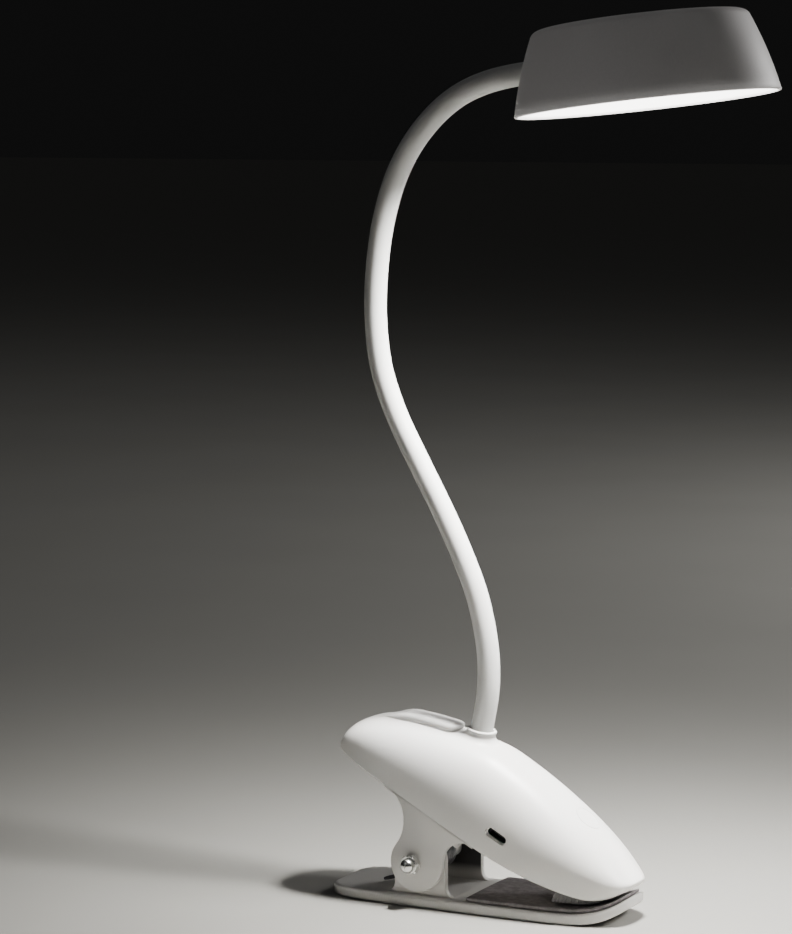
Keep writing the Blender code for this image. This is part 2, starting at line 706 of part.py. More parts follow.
def build_neck_mount():
    """Ferrule pressed on the core's lower end, and the hex nut that holds it in the cover."""
    place = collar_matrix()
    inner = CORE_RADIUS + GAP
    tube = [(inner, -21 * MM), (4.6 * MM, -21 * MM), (4.6 * MM, -11.5 * MM), (inner, -11.5 * MM)]
    ferrule = move(turned("neck_ferrule_lower", tube, ZINC, sides=20), place)
    outer, bore, low, high = 7.5 * MM, 4.9 * MM, -19.5 * MM, -15.5 * MM
    corners = [(outer * math.cos(a), outer * math.sin(a)) for a in angles(6)]
    nut = loft("neck_clamp_nut", [[(x, y, z) for x, y in corners] for z in (low, high)], ZINC)
    hole = [(0.0, low - MM), (bore, low - MM), (bore, high + MM), (0.0, high + MM)]
    combine(nut, [turned("hole", hole, ZINC, sides=20)], "DIFFERENCE")
    return [ferrule, move(nut, place)]


# ---------------------------------------------------------------- neck


def lead_direction():
    return Vector((math.sin(COLLAR_LEAN), 0, math.cos(COLLAR_LEAN)))


def tail_direction():
    return Vector((math.cos(HEAD_TILT), 0, math.sin(HEAD_TILT)))


def smooth_route(points, steps=8):
    """A smooth curve through the points, by cubic pieces with matching slopes."""
    route = []
    for i in range(len(points) - 1):
        p1, p2 = points[i], points[i + 1]
        chord = (p2 - p1).length
        m1 = (p2 - points[i - 1]) / 2 if i else lead_direction() * chord
        m2 = (points[i + 2] - p1) / 2 if i + 2 < len(points) else tail_direction() * chord
        for k in range(steps):
            t = k / steps
            route.append(p1 * (2 * t**3 - 3 * t**2 + 1) + m1 * (t**3 - 2 * t**2 + t)
                         + p2 * (3 * t**2 - 2 * t**3) + m2 * (t**3 - t**2))
    return route + [points[-1]]


class Neck:
    """The neck's centre line, measured by length from the collar's top face."""

    def __init__(self):
        self.route = smooth_route(NECK_ROUTE)
        self.lengths = [0.0]
        for a, b in zip(self.route, self.route[1:]):
            self.lengths.append(self.lengths[-1] + (b - a).length)
        self.length = self.lengths[-1]
        self.spacing = (self.length - FIRST_PIVOT) * 0.985 / LINKS

    def at(self, s):
        """Point and direction at length s. Before 0 and past the end the neck runs straight."""
        if s <= 0:
            return self.route[0] + lead_direction() * s, lead_direction()
        if s >= self.length:
            return self.route[-1] + tail_direction() * (s - self.length), tail_direction()
        i = max(k for k in range(len(self.route) - 1) if self.lengths[k] <= s)
        t = (s - self.lengths[i]) / (self.lengths[i + 1] - self.lengths[i])
        before, after = self.slope(i), self.slope(i + 1)
        return self.route[i].lerp(self.route[i + 1], t), before.lerp(after, t).normalized()

    def slope(self, i):
        if i == 0:
            return lead_direction()
        if i == len(self.route) - 1:
            return tail_direction()
        return (self.route[i + 1] - self.route[i - 1]).normalized()

    def pivot(self, number):
        """Length at which joint number 1 to LINKS turns."""
        return FIRST_PIVOT + self.spacing * (number - 1)

    def ring(self, s, radius, sides, shift=0.0):
        """A circle across the neck at s, moved along the neck by shift."""
        point, ahead = self.at(s)
        side = Vector((0, 1, 0))
        up = ahead.cross(side)
        centre = point + ahead * shift
        return [centre + (side * math.cos(a) + up * math.sin(a)) * radius for a in angles(sides)]

    def rings_on_ball(self, pivot, ball, radii, sides):
        """Circles of the given radii on a ball about a pivot, on its far side."""
        return [self.ring(pivot, r, sides, math.sqrt(ball**2 - r**2)) for r in radii]

    def link(self, name, start, end, radius, bore, sides, steps, finish):
        """One stretch of tube. start and end are (length, pivot or None): an end on a pivot is a ball."""
        first = self.end_rings(start, DOME_RADIUS + GAP, (bore, radius), sides)
        last = self.end_rings(end, DOME_RADIUS, (radius, bore), sides)
        low = start[0] + (0.0 if start[1] is None else DOME_RADIUS + GAP)
        high = end[0] + (0.0 if end[1] is None else 0.3 * DOME_RADIUS)
        stops = [low + (high - low) * (i + 1) / (steps + 1) for i in range(steps)]
        rings = first + [self.ring(s, radius, sides) for s in stops] + last
        rings += [self.ring(s, bore, sides) for s in reversed(stops)]
        points = [p for ring in rings for p in ring]
        return solid(name, points, ring_faces(len(rings), sides, closed=True), finish)

    def end_rings(self, end, ball, radii, sides):
        if end[1] is None:
            return [self.ring(end[0], r, sides) for r in radii]
        return self.rings_on_ball(end[1], ball, radii, sides)


def build_neck(neck, jaw):
    """Sleeve and core of each link. Link 0 stays in the jaw and the last one in the head."""
    bodies = []
    parent = jaw
    for number in range(LINKS + 1):
        if number:
            pivot = neck.pivot(number)
            point, ahead = neck.at(pivot)
            lean = math.atan2(ahead.x, ahead.z)
            parent = empty(f"neck_joint_{number}", point, lean, parent)
        first = neck.pivot(number) if number else None
        last = neck.pivot(number + 1) if number < LINKS else None
        start = (neck.pivot(number), first) if number else (-9.0 * MM, None)
        end = (neck.pivot(number + 1), last) if last else (neck.length + 2.0 * MM, None)
        name = f"neck_sleeve_{number}"
        sleeve = neck.link(name, start, end, SLEEVE_RADIUS, SLEEVE_BORE, 12, 4, SLEEVE_WHITE)
        if not number:
            start = (-24.0 * MM, None)
        if number == LINKS:
            end = (neck.length + 12.0 * MM, None)
        name = f"neck_core_{number}"
        core = neck.link(name, start, end, CORE_RADIUS, CORE_BORE, 8, 4, SPRING_STEEL)
        carry_world(parent, sleeve, core)
        bodies.append(parent)
    return bodies


# ---------------------------------------------------------------- head


def head_profile(inset, low, steps=7):
    """The shade's wall from its rim up to the shoulder, moved in by inset."""
    wall = []
    top = HEAD_HEIGHT - 2.4 * MM
    for i in range(steps + 1):
        z = low + (top - low) * i / steps
        t = z / HEAD_HEIGHT
        wall.append((HEAD_RADIUS - inset - HEAD_INSET * (0.62 * t + 0.38 * t * t), z))
    return wall


def build_head_shell():
    outer = head_profile(0.0, 0.0)
    shoulder = outer[-1][0]
    outer += [(shoulder - 1.2 * MM, HEAD_HEIGHT - 0.9 * MM), (shoulder - 3.2 * MM, HEAD_HEIGHT),
              (shoulder * 0.5, HEAD_HEIGHT + HEAD_CROWN * 0.8), (0.0, HEAD_HEIGHT + HEAD_CROWN)]
    inner = head_profile(HEAD_WALL, 0.0, 5)
    ceiling = HEAD_HEIGHT - HEAD_WALL
    inner = inner[:-1] + [(inner[-1][0] - 0.4 * MM, HEAD_HEIGHT - 3.4 * MM),
                          (inner[-1][0] - 3.0 * MM, ceiling), (0.0, ceiling)]
    profile = list(reversed(inner)) + outer
    shell = turned("head_shell", profile, HEAD_WHITE, sides=48)
    bar = [(0.0, -30 * MM), (SLEEVE_RADIUS + GAP, -30 * MM), (SLEEVE_RADIUS + GAP, 30 * MM), (0.0, 30 * MM)]
    entry = Matrix.Translation((-HEAD_RADIUS, 0, NECK_ENTRY)) @ Matrix.Rotation(math.radians(90), 4, "Y")
    combine(shell, [move(turned("entry", bar, HEAD_WHITE, sides=28), entry)], "DIFFERENCE")
    posts, holes = [], []
    for a in SCREW_ANGLES:
        low, high = BOARD_HEIGHT + 1.5 * MM, HEAD_HEIGHT - 1.0 * MM
        post = [(0.0, low), (2.6 * MM, low), (2.9 * MM, high), (0.0, high)]
        posts.append(move(turned("post", post, HEAD_WHITE, sides=12), board_screw_place(a)))
        hole = [(0.0, low - MM), (1.3 * MM, low - MM), (1.3 * MM, low + 9 * MM), (0.0, low + 9 * MM)]
        holes.append(move(turned("hole", hole, HEAD_WHITE, sides=12), board_screw_place(a)))
    combine(shell, posts, "UNION")
    return combine(shell, holes, "DIFFERENCE")


def board_screw_place(angle):
    return Matrix.Translation((30 * MM * math.cos(angle), 30 * MM * math.sin(angle), 0))


def build_head_inside():
    pane = HEAD_RADIUS - HEAD_WALL - GAP - 0.25 * MM
    disc = [(0.0, 0.5 * MM), (pane * 0.6, 0.45 * MM), (pane - 0.6 * MM, 0.6 * MM), (pane, 1.0 * MM),
            (pane - 0.1 * MM, 2.3 * MM), (0.0, 2.3 * MM)]
    diffuser = turned("diffuser", disc, OPAL, sides=48)

    low, high = 2.6 * MM, BOARD_HEIGHT - 0.4 * MM
    cone = [(pane - 1.4 * MM, low), (pane - 0.8 * MM, low), (pane - 2.6 * MM, high), (pane - 3.2 * MM, high)]
    reflector = turned("reflector", cone, OPAL, sides=48)

    face, back = BOARD_HEIGHT, BOARD_HEIGHT + 1.2 * MM
    disc = [(0.0, face), (pane - 4.2 * MM, face), (pane - 4.2 * MM, back), (0.0, back)]
    board = turned("led_board", disc, BOARD_GREEN, sides=40)
    leds = []
    for i, a in enumerate(angles(12, math.radians(15))):
        place = Matrix.Rotation(a, 4, "Z") @ Matrix.Translation((34 * MM, 0, 0))
        low, high = face - 0.8 * MM, face + 0.3 * MM
        leds.append(move(block("led", (-1.4 * MM, -1.75 * MM, low), (1.4 * MM, 1.75 * MM, high), OPAL), place))
    combine(board, leds, "UNION")
    holes = []
    for a in SCREW_ANGLES:
        hole = [(0.0, face - MM), (1.4 * MM, face - MM), (1.4 * MM, back + MM), (0.0, back + MM)]
        holes.append(move(turned("hole", hole, OPAL, sides=12), board_screw_place(a)))
    combine(board, holes, "DIFFERENCE")

    screws = []
    for number, a in enumerate(SCREW_ANGLES, 1):
        place = board_screw_place(a) @ Matrix.Translation((0, 0, face - GAP))
        screws.append(screw(f"board_screw_{number}", place, 2.2 * MM, 1.0 * MM, 8 * MM))

    x, z = -HEAD_RADIUS + 9.6 * MM, NECK_ENTRY
    low, high = (x, -6.5 * MM, z - 4.6 * MM), (x + 11 * MM, 6.5 * MM, z + 6.0 * MM)
    socket = block("head_socket", low, high, HEAD_WHITE)
    bar = [(0.0, -20 * MM), (4.3 * MM, -20 * MM), (4.3 * MM, 20 * MM), (0.0, 20 * MM)]
    turn = Matrix.Translation((x, 0, z)) @ Matrix.Rotation(math.radians(90), 4, "Y")
    combine(socket, [move(turned("bar", bar, HEAD_WHITE, sides=24), turn)], "DIFFERENCE")
    inner = CORE_RADIUS + GAP
    tube = [(inner, 0.5 * MM), (4.0 * MM, 0.5 * MM), (4.0 * MM, 10 * MM), (inner, 10 * MM)]
    ferrule = move(turned("neck_ferrule_upper", tube, ZINC, sides=20), turn)
    return [diffuser, reflector, board, socket, ferrule] + screws


# ---------------------------------------------------------------- assembly


def main():
    clear_scene()
    lower = empty("lower_jaw_frame", Vector((0, 0, 0)), 0.0)
    carry(lower, *build_lower_jaw(), *build_hinge(), *build_spring())

    jaw = empty("jaw_hinge", Vector((0, 0, HINGE_HEIGHT)), JAW_SLOPE, lower)
    carry(jaw, build_cover(), build_base(), build_upper_pad(), build_collar())
    carry(jaw, *build_case_screws(), *build_electronics(), *build_neck_mount())

    neck = Neck()
    bodies = build_neck(neck, jaw)
    head = empty("head_frame", HEAD_CENTRE, -HEAD_TILT, bodies[-1])
    carry(head, build_head_shell(), *build_head_inside())


main()
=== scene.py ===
"""Looks of a clip-on reading lamp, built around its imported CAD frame.

Frame: metres, +Z up, +X towards the jaw tips and the lamp head, +Y across the lamp. The origin is
on the lower jaw's underside, straight below the hinge bolt.
"""

import json
import logging
import math
from dataclasses import dataclass, field
from enum import Enum
from typing import Callable, Iterable, Sequence

import bmesh
import bpy
import numpy as np
from mathutils import Matrix, Vector


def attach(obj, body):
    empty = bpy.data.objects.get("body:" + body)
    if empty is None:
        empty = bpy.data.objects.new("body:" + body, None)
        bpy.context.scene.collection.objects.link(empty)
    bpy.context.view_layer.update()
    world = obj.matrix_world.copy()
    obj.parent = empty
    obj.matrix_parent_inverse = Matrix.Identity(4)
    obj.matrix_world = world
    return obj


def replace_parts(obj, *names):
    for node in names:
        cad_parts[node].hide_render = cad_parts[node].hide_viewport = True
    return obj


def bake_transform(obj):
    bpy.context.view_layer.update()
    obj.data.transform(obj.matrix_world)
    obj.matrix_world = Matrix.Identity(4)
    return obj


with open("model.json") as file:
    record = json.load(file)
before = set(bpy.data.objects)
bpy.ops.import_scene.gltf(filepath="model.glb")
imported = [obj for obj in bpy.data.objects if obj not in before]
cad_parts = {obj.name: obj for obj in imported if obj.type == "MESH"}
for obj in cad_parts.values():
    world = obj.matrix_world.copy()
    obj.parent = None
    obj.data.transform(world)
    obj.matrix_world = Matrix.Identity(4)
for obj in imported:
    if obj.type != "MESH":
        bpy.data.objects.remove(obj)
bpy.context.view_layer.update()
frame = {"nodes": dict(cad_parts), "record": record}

LOG = logging.getLogger("reading_lamp")
MM = 0.001
SHARP = math.radians(38.0)
GAP = 0.3 * MM
HINGE_HEIGHT = 17.0 * MM
BOLT_HOLE = 2.35 * MM

Point = Sequence[float]
Ring = list[Vector]


# ------------------------------------------------------------------ geometry helpers


def add_mesh(
    name: str, points: Iterable[Point], faces: Sequence[Sequence[int]], sharp: float = SHARP
) -> bpy.types.Object:
    """Make an object from points and faces, turned outwards and shaded smooth.

    Args:
        name: The piece's name.
        points: Its corners, in metres.
        faces: Corner numbers of each face.
        sharp: Angle above which an edge is shaded sharp.

    Returns:
        The new object, linked to the scene.
    """
    mesh = bpy.data.meshes.new(name)
    mesh.from_pydata([tuple(p) for p in points], [], [tuple(f) for f in faces])
    tidy(mesh, sharp)
    obj = bpy.data.objects.new(name, mesh)
    bpy.context.scene.collection.objects.link(obj)
    return obj


def tidy(mesh: bpy.types.Mesh, sharp: float = SHARP) -> None:
    """Weld a mesh, turn its faces outwards and set its shading.

    Args:
        mesh: The mesh to change.
        sharp: Angle above which an edge is shaded sharp.
    """
    work = bmesh.new()
    work.from_mesh(mesh)
    bmesh.ops.remove_doubles(work, verts=work.verts, dist=0.002 * MM)
    bmesh.ops.dissolve_degenerate(work, edges=work.edges, dist=0.002 * MM)
    bmesh.ops.recalc_face_normals(work, faces=work.faces)
    work.to_mesh(mesh)
    work.free()
    mesh.shade_smooth()
    mesh.set_sharp_from_angle(angle=sharp)


def band(rows: int, count: int, closed_rows: bool = False) -> list[tuple[int, ...]]:
    """Quads between neighbouring closed rows of the same number of points.

    Args:
        rows: How many rows there are.
        count: Points in each row.
        closed_rows: Whether the last row joins the first.

    Returns:
        The faces, as tuples of point numbers.
    """
    faces = []
    for i in range(rows if closed_rows else rows - 1):
        a, b = i * count, ((i + 1) % rows) * count
        for j in range(count):
            k = (j + 1) % count
            faces.append((a + j, a + k, b + k, b + j))
    return faces


def loft(name: str, rings: Sequence[Sequence[Point]], sharp: float = SHARP) -> bpy.types.Object:
    """Make a solid through closed rings of equal length, with a flat face at each end.

    Args:
        name: The piece's name.
        rings: The rings, in order.
        sharp: Angle above which an edge is shaded sharp.

    Returns:
        The new object.
    """
    count = len(rings[0])
    points = [p for ring in rings for p in ring]
    faces = band(len(rings), count)
    faces.append(tuple(range(count)))
    faces.append(tuple(range(len(points) - count, len(points))))
    return add_mesh(name, points, faces, sharp)


def lathe(
    name: str, profile: Sequence[tuple[float, float]], sides: int, place: Matrix, sharp: float = SHARP
) -> bpy.types.Object:
    """Turn a closed profile about z. Profile points at radius 0 become poles.

    Args:
        name: The piece's name.
        profile: (radius, height) points, in order round the section.
        sides: Number of sides.
        place: Where the lathe's own frame goes.
        sharp: Angle above which an edge is shaded sharp.

    Returns:
        The new object.
    """
    rows = []
    for r, z in profile:
        radius = max(r, 1e-7)
        rows.append([place @ Vector((radius * math.cos(a), radius * math.sin(a), z)) for a in turn(sides)])
    points = [p for row in rows for p in row]
    return add_mesh(name, points, band(len(rows), sides, closed_rows=True), sharp)


def turn(sides: int) -> list[float]:
    """Equal steps round a full turn, in radians."""
    return [2 * math.pi * i / sides for i in range(sides)]


def arc(
    centre: tuple[float, float], radius: float, start: float, end: float, steps: int
) -> list[tuple[float, float]]:
    """Points on an arc between two angles in degrees."""
    angles = [math.radians(start + (end - start) * i / steps) for i in range(steps + 1)]
    return [(centre[0] + radius * math.cos(a), centre[1] + radius * math.sin(a)) for a in angles]


def resample(points: np.ndarray, count: int) -> np.ndarray:
    """Spread points evenly along a polyline.

    Args:
        points: The polyline, one row per point.
        count: How many points to return.

    Returns:
        The evenly spread points.
    """
    steps = np.linalg.norm(np.diff(points, axis=0), axis=1)
    along = np.concatenate([[0.0], np.cumsum(steps)])
    wanted = np.linspace(0.0, along[-1], count)
    return np.stack([np.interp(wanted, along, points[:, i]) for i in range(points.shape[1])], axis=1)


def smooth(value: float) -> float:
    """A step from 0 to 1 with level ends."""
    v = min(1.0, max(0.0, value))
    return v * v * (3 - 2 * v)


def cut(
    target: bpy.types.Object, tools: Sequence[bpy.types.Object], operation: str, sharp: float = SHARP
) -> bpy.types.Object:
    """Apply exact Booleans to an object and remove the tools.

    Args:
        target: The object to change.
        tools: What is cut away or joined on.
        operation: DIFFERENCE or UNION.
        sharp: Angle above which an edge is shaded sharp.

    Returns:
        The target.
    """
    for tool in tools:
        step = target.modifiers.new("step", "BOOLEAN")
        step.operation, step.solver, step.object = operation, "EXACT", tool
        graph = bpy.context.evaluated_depsgraph_get()
        mesh = bpy.data.meshes.new_from_object(target.evaluated_get(graph))
        target.modifiers.clear()
        target.data = mesh
        bpy.data.objects.remove(tool)
    tidy(target.data, sharp)
    return target


def side_normals(outline: np.ndarray) -> np.ndarray:
    """Unit normals along an open outline, one for each point."""
    ahead = np.gradient(outline, axis=0)
    normal = np.stack([-ahead[:, 1], ahead[:, 0]], axis=1)
    return normal / np.linalg.norm(normal, axis=1, keepdims=True)


def slab(
    name: str, outline: np.ndarray, layers: Sequence[tuple[float, float]], lift: Callable[[float, float], float]
) -> bpy.types.Object:
    """A plate mirrored across y = 0, from half its outline and a rounded edge.

    Args:
        name: The piece's name.
        outline: (x, y) points with y from 0 up and back to 0, rear to front.
        layers: (inset, height) pairs up the plate's edge.
        lift: Height of the plate's reference surface at (x, y).

    Returns:
        The new object.
    """
    normal = side_normals(outline)
    normal[0], normal[-1] = (-1, 0), (1, 0)
    loops = []
    for inset, height in layers:
        half = outline - normal * inset
        half[0, 1] = half[-1, 1] = 0.0
        left = [(x, y, lift(x, y) + height) for x, y in half]
        right = [(x, -y, lift(x, -y) + height) for x, y in half[-2:0:-1]]
        loops.append(left + right)
    count, half = len(loops[0]), len(outline)
    points = [p for loop in loops for p in loop]
    faces = band(len(loops), count)
    for base in (0, len(points) - count):
        for i in range(half - 1):
            pair = [base + i, base + i + 1, base + (count - i - 1) % count, base + (count - i) % count]
            faces.append(tuple(dict.fromkeys(pair)))
    return add_mesh(name, points, faces)


def plate(
    name: str, outline: Sequence[tuple[float, float]], layers: Sequence[tuple[float, float]], place: Matrix
) -> bpy.types.Object:
    """A flat plate in the (x, z) plane with rounded edges, from a closed outline.

    Args:
        name: The piece's name.
        outline: (x, z) corners, counter-clockwise, the last joined to the first.
        layers: (inset, y) pairs through the plate's thickness.
        place: Where the plate's own frame goes.

    Returns:
        The new object.
    """
    base = np.array(outline)
    ahead = np.roll(base, -1, axis=0) - np.roll(base, 1, axis=0)
    normal = np.stack([ahead[:, 1], -ahead[:, 0]], axis=1)
    normal /= np.linalg.norm(normal, axis=1, keepdims=True)
    rings = []
    for inset, y in layers:
        rings.append([place @ Vector((x, y, z)) for x, z in base - normal * inset])
    return loft(name, rings)


def rounded(
    thickness: float, radius: float, steps: int = 4, hold: float = 0.12 * MM
) -> list[tuple[float, float]]:
    """(inset, height) layers of an edge rounded at both faces, with a holding loop on each face."""
    low = [
        (radius * (1 - math.sin(a)), radius * (1 - math.cos(a))) for a in np.linspace(0, math.pi / 2, steps + 1)
    ]
    high = [(inset, thickness - height) for inset, height in reversed(low)]
    return [(radius + hold, 0.0)] + low + high + [(radius + hold, thickness)]


def bevelled(low: float, high: float, edge: float) -> list[tuple[float, float]]:
    """(inset, y) layers of a plate from low to high, bevelled at both faces."""
    first = [(edge, low), (edge * 0.3, low + edge * 0.3), (0, low + edge)]
    return first + [(0, high - edge), (edge * 0.3, high - edge * 0.3), (edge, high)]


def sweep(name: str, path: Sequence[Vector], radius: Callable[[float], float], sides: int) -> bpy.types.Object:
    """A round bar along a path.

    Args:
        name: The piece's name.
        path: Centre points.
        radius: Radius at a share of the path from 0 to 1.
        sides: Number of sides.

    Returns:
        The new object.
    """
    rings = []
    side = Vector((0, 1, 0))
    last = len(path) - 1
    for i, point in enumerate(path):
        ahead = (path[min(i + 1, last)] - path[max(i - 1, 0)]).normalized()
        side = (side - ahead * side.dot(ahead)).normalized()
        up = ahead.cross(side)
        r = radius(i / last)
        rings.append([point + (side * math.cos(a) + up * math.sin(a)) * r for a in turn(sides)])
    return loft(name, rings)


# ------------------------------------------------------------------ shader helpers


class Value:
    """A number on a shader socket. Arithmetic on it adds Math nodes."""

    def __init__(self, paint: "Paint", socket: bpy.types.NodeSocket) -> None:
        """Wrap one output socket of a paint's tree."""
        self.paint = paint
        self.socket = socket

    def _math(self, operation: str, first: "Number", second: "Number", clamp: bool = False) -> "Value":
        """Add one Math node.

        Args:
            operation: The node's operation.
            first: Its first number.
            second: Its second number.
            clamp: Whether to hold the result between 0 and 1.

        Returns:
            The node's result.
        """
        node = self.paint.node(
            "ShaderNodeMath", {"operation": operation, "use_clamp": clamp}, {0: first, 1: second}
        )
        return Value(self.paint, node.outputs[0])

    def __add__(self, other: "Number") -> "Value":
        """This plus another number."""
        return self._math("ADD", self, other)

    def __radd__(self, other: "Number") -> "Value":
        """Another number plus this."""
        return self._math("ADD", other, self)

    def __sub__(self, other: "Number") -> "Value":
        """This less another number."""
        return self._math("SUBTRACT", self, other)

    def __rsub__(self, other: "Number") -> "Value":
        """Another number less this."""
        return self._math("SUBTRACT", other, self)

    def __mul__(self, other: "Number") -> "Value":
        """This times another number."""
        return self._math("MULTIPLY", self, other)

    def __rmul__(self, other: "Number") -> "Value":
        """Another number times this."""
        return self._math("MULTIPLY", other, self)

    def __pow__(self, other: "Number") -> "Value":
        """This to a power."""
        return self._math("POWER", self, other)

    def clamped(self) -> "Value":
        """This held between 0 and 1."""
        return self._math("ADD", self, 0.0, clamp=True)

    def size(self) -> "Value":
        """This without its sign."""
        return self._math("ABSOLUTE", self, 0.0)


Number = Value | float


class Paint:
    """One material and the nodes that vary it over a surface."""

    def __init__(self, name: str) -> None:
        """Start a material with a plain Principled shader."""
        self.material = bpy.data.materials.new(name)
        self.material.use_nodes = True
        self.tree = self.material.node_tree
        self.shader = self.tree.nodes["Principled BSDF"]
        self.place = self.node("ShaderNodeTexCoord", {}, {}).outputs["Object"]

    def node(self, kind: str, settings: dict, values: dict) -> bpy.types.Node:
        """Add a node.

        Args:
            kind: The node's type.
            settings: Properties set before its sockets.
            values: Sockets by name or number, with numbers, colours or links.

        Returns:
            The new node.
        """
        node = self.tree.nodes.new(kind)
        for key, value in settings.items():
            setattr(node, key, value)
        for key, value in values.items():
            self.plug(node.inputs[key], value)
        return node

    def plug(self, socket: bpy.types.NodeSocket, value: object) -> None:
        """Give one socket a link, a number or a colour."""
        source = value.socket if isinstance(value, Value) else value
        if isinstance(source, bpy.types.NodeSocket):
            self.tree.links.new(source, socket)
        else:
            socket.default_value = source

    def noise(self, scale: float, detail: float = 3.0, stretch: Point = (1, 1, 1), seed: float = 0.0) -> Value:
        """Soft noise from 0 to 1.

        Args:
            scale: Lumps to the metre.
            detail: Octaves.
            stretch: Scale along each axis.
            seed: Shift that gives another pattern.

        Returns:
            The noise.
        """
        where = self.node(
            "ShaderNodeMapping", {},
            {"Vector": self.place, "Scale": stretch, "Location": (seed, seed * 0.7, -seed)}
        )
        made = self.node(
            "ShaderNodeTexNoise", {},
            {"Vector": where.outputs[0], "Scale": scale, "Detail": detail, "Roughness": 0.55}
        )
        return Value(self, made.outputs[0])

    def axis(self, index: int) -> Value:
        """One coordinate of the surface point, in metres."""
        return Value(self, self.node("ShaderNodeSeparateXYZ", {}, {0: self.place}).outputs[index])

    def from_axis(self, centre: Point, axis: Point) -> tuple[Value, Value]:
        """Height along a tilted axis and distance from it.

        Args:
            centre: A point on the axis.
            axis: Its direction, in the plane y = 0.

        Returns:
            The height and the distance, in metres.
        """
        dx, y, dz = self.axis(0) - centre[0], self.axis(1), self.axis(2) - centre[2]
        height = dx * axis[0] + dz * axis[2]
        return height, (dx * dx + y * y + dz * dz - height * height).size() ** 0.5

    def between(self, value: Value, low: float, high: float) -> Value:
        """A smooth step of a value from low to high."""
        made = self.node(
            "ShaderNodeMapRange", {"interpolation_type": "SMOOTHSTEP"},
            {0: value, 1: low, 2: high, 3: 0.0, 4: 1.0}
        )
        return Value(self, made.outputs[0])

    def blend(self, factor: Number, first: Point, second: Point) -> bpy.types.NodeSocket:
        """Mix two colours, or two colour sockets, by a factor."""
        def full(colour):
            return colour if isinstance(colour, bpy.types.NodeSocket) else (*colour, 1.0)

        made = self.node("ShaderNodeMix", {"data_type": "RGBA"}, {0: factor, 6: full(first), 7: full(second)})
        return made.outputs[2]

    def bump(self, height: Value, distance: float) -> bpy.types.NodeSocket:
        """Turn a height from 0 to 1 into a normal.

        Args:
            height: The surface's height.
            distance: Real depth of a height of 1, in metres.

        Returns:
            The normal.
        """
        made = self.node("ShaderNodeBump", {}, {"Height": height, "Distance": distance, "Strength": 1.0})
        return made.outputs["Normal"]

    def set(self, **sockets: object) -> "Paint":
        """Give the shader's sockets numbers, colours or links. An underscore in a name stands for a space."""
        for key, value in sockets.items():
            self.plug(self.shader.inputs[key.replace("_", " ")], value)
        return self


# ------------------------------------------------------------------ finishes


@dataclass(frozen=True)
class MouldedPlastic:
    """Satin moulded plastic: a fine spark grain, faint handling haze and slow tint drift.

    Given a width, faces nearer the lamp's middle plane than that turn near-black about the hinge: painted shade
    for the shaded space between the ears.
    """

    name: str
    colour: Point
    roughness: float
    grain: float = 2600.0
    depth: float = 0.012 * MM
    painted_shade_width: float = 0.0

    def make(self) -> bpy.types.Material:
        """Build the material."""
        paint = Paint(self.name)
        drift = paint.noise(22.0, 3.0)
        haze = paint.noise(140.0, 4.0, seed=3.1)
        grain = paint.noise(self.grain, 2.0, seed=7.7)
        fleck = paint.between(paint.noise(900.0, 1.0, seed=1.9), 0.70, 0.78)
        warm = tuple(c * f for c, f in zip(self.colour, (0.985, 0.975, 0.955)))
        dull = tuple(c * 0.93 for c in self.colour)
        tint = paint.blend(paint.between(drift, 0.35, 0.7), self.colour, warm)
        tint = paint.blend(fleck * 0.35, tint, dull)
        # Painted shade: near-black over the faces between the ears around the hinge, where the mouth lies in
        # shade.
        if self.painted_shade_width:
            across = 1.0 - paint.between(paint.axis(1).size(), self.painted_shade_width, self.painted_shade_width + 0.05 * MM)
            along = 1.0 - paint.between((paint.axis(0) - 1.0 * MM).size(), 11.0 * MM, 17.0 * MM)
            above = paint.between(paint.axis(2), 6.0 * MM, 11.0 * MM)
            tint = paint.blend(across * along * above, tint, (0.022, 0.021, 0.022))
        paint.set(
            Base_Color=tint,
            Roughness=self.roughness + (haze - 0.5) * 0.16 + (grain - 0.5) * 0.08,
            Normal=paint.bump(grain, self.depth),
            Subsurface_Weight=0.06,
            Subsurface_Scale=0.002,
            Subsurface_Radius=(1.0, 0.9, 0.8),
            IOR=1.5,
        )
        return paint.material


@dataclass(frozen=True)
class ShadePlastic:
    """The head's plastic: a fine weave-like grain, a painted glow beside the rim and a very faint painted glow
    over the wall.
    """

    name: str = "head_plastic"
    colour: Point = (0.80, 0.77, 0.78)
    roughness: float = 0.5
    painted_rim_glow: float = 0.035
    painted_wall_glow: float = 0.011
    radius: float = 49.3 * MM
    centre: Point = (0.0, 0.0, 0.0)
    axis: Point = (0.0, 0.0, 1.0)

    def make(self) -> bpy.types.Material:
        """Build the material."""
        paint = Paint(self.name)
        weave = paint.noise(1500.0, 3.0, stretch=(1.0, 1.0, 0.6), seed=2.2)
        haze = paint.noise(60.0, 4.0, seed=4.0)
        # Painted light: emission laid on the shade, strongest beside the rim and faint over the whole wall.
        height, away = paint.from_axis(self.centre, self.axis)
        outside = paint.between(away, self.radius - 1.5 * MM, self.radius - 0.7 * MM)
        painted_rim_light = (1.0 - paint.between(height, 0.2 * MM, 4.5 * MM)) * (0.8 + 0.4 * haze)
        glow = painted_rim_light * (self.painted_rim_glow * outside + (1.0 - outside)) + self.painted_wall_glow * (0.6 + 0.8 * haze)
        tint = paint.blend(
            weave, tuple(c * 0.94 for c in self.colour), tuple(min(1.0, c * 1.05) for c in self.colour)
        )
        paint.set(
            Base_Color=tint,
            Roughness=self.roughness + (haze - 0.5) * 0.14 + (weave - 0.5) * 0.1,
            Normal=paint.bump(weave, 0.03 * MM),
            Emission_Color=paint.blend(glow, (0.0, 0.0, 0.0), (1.0, 0.97, 0.93)),
            Emission_Strength=3.0,
            IOR=1.5,
        )
        return paint.material


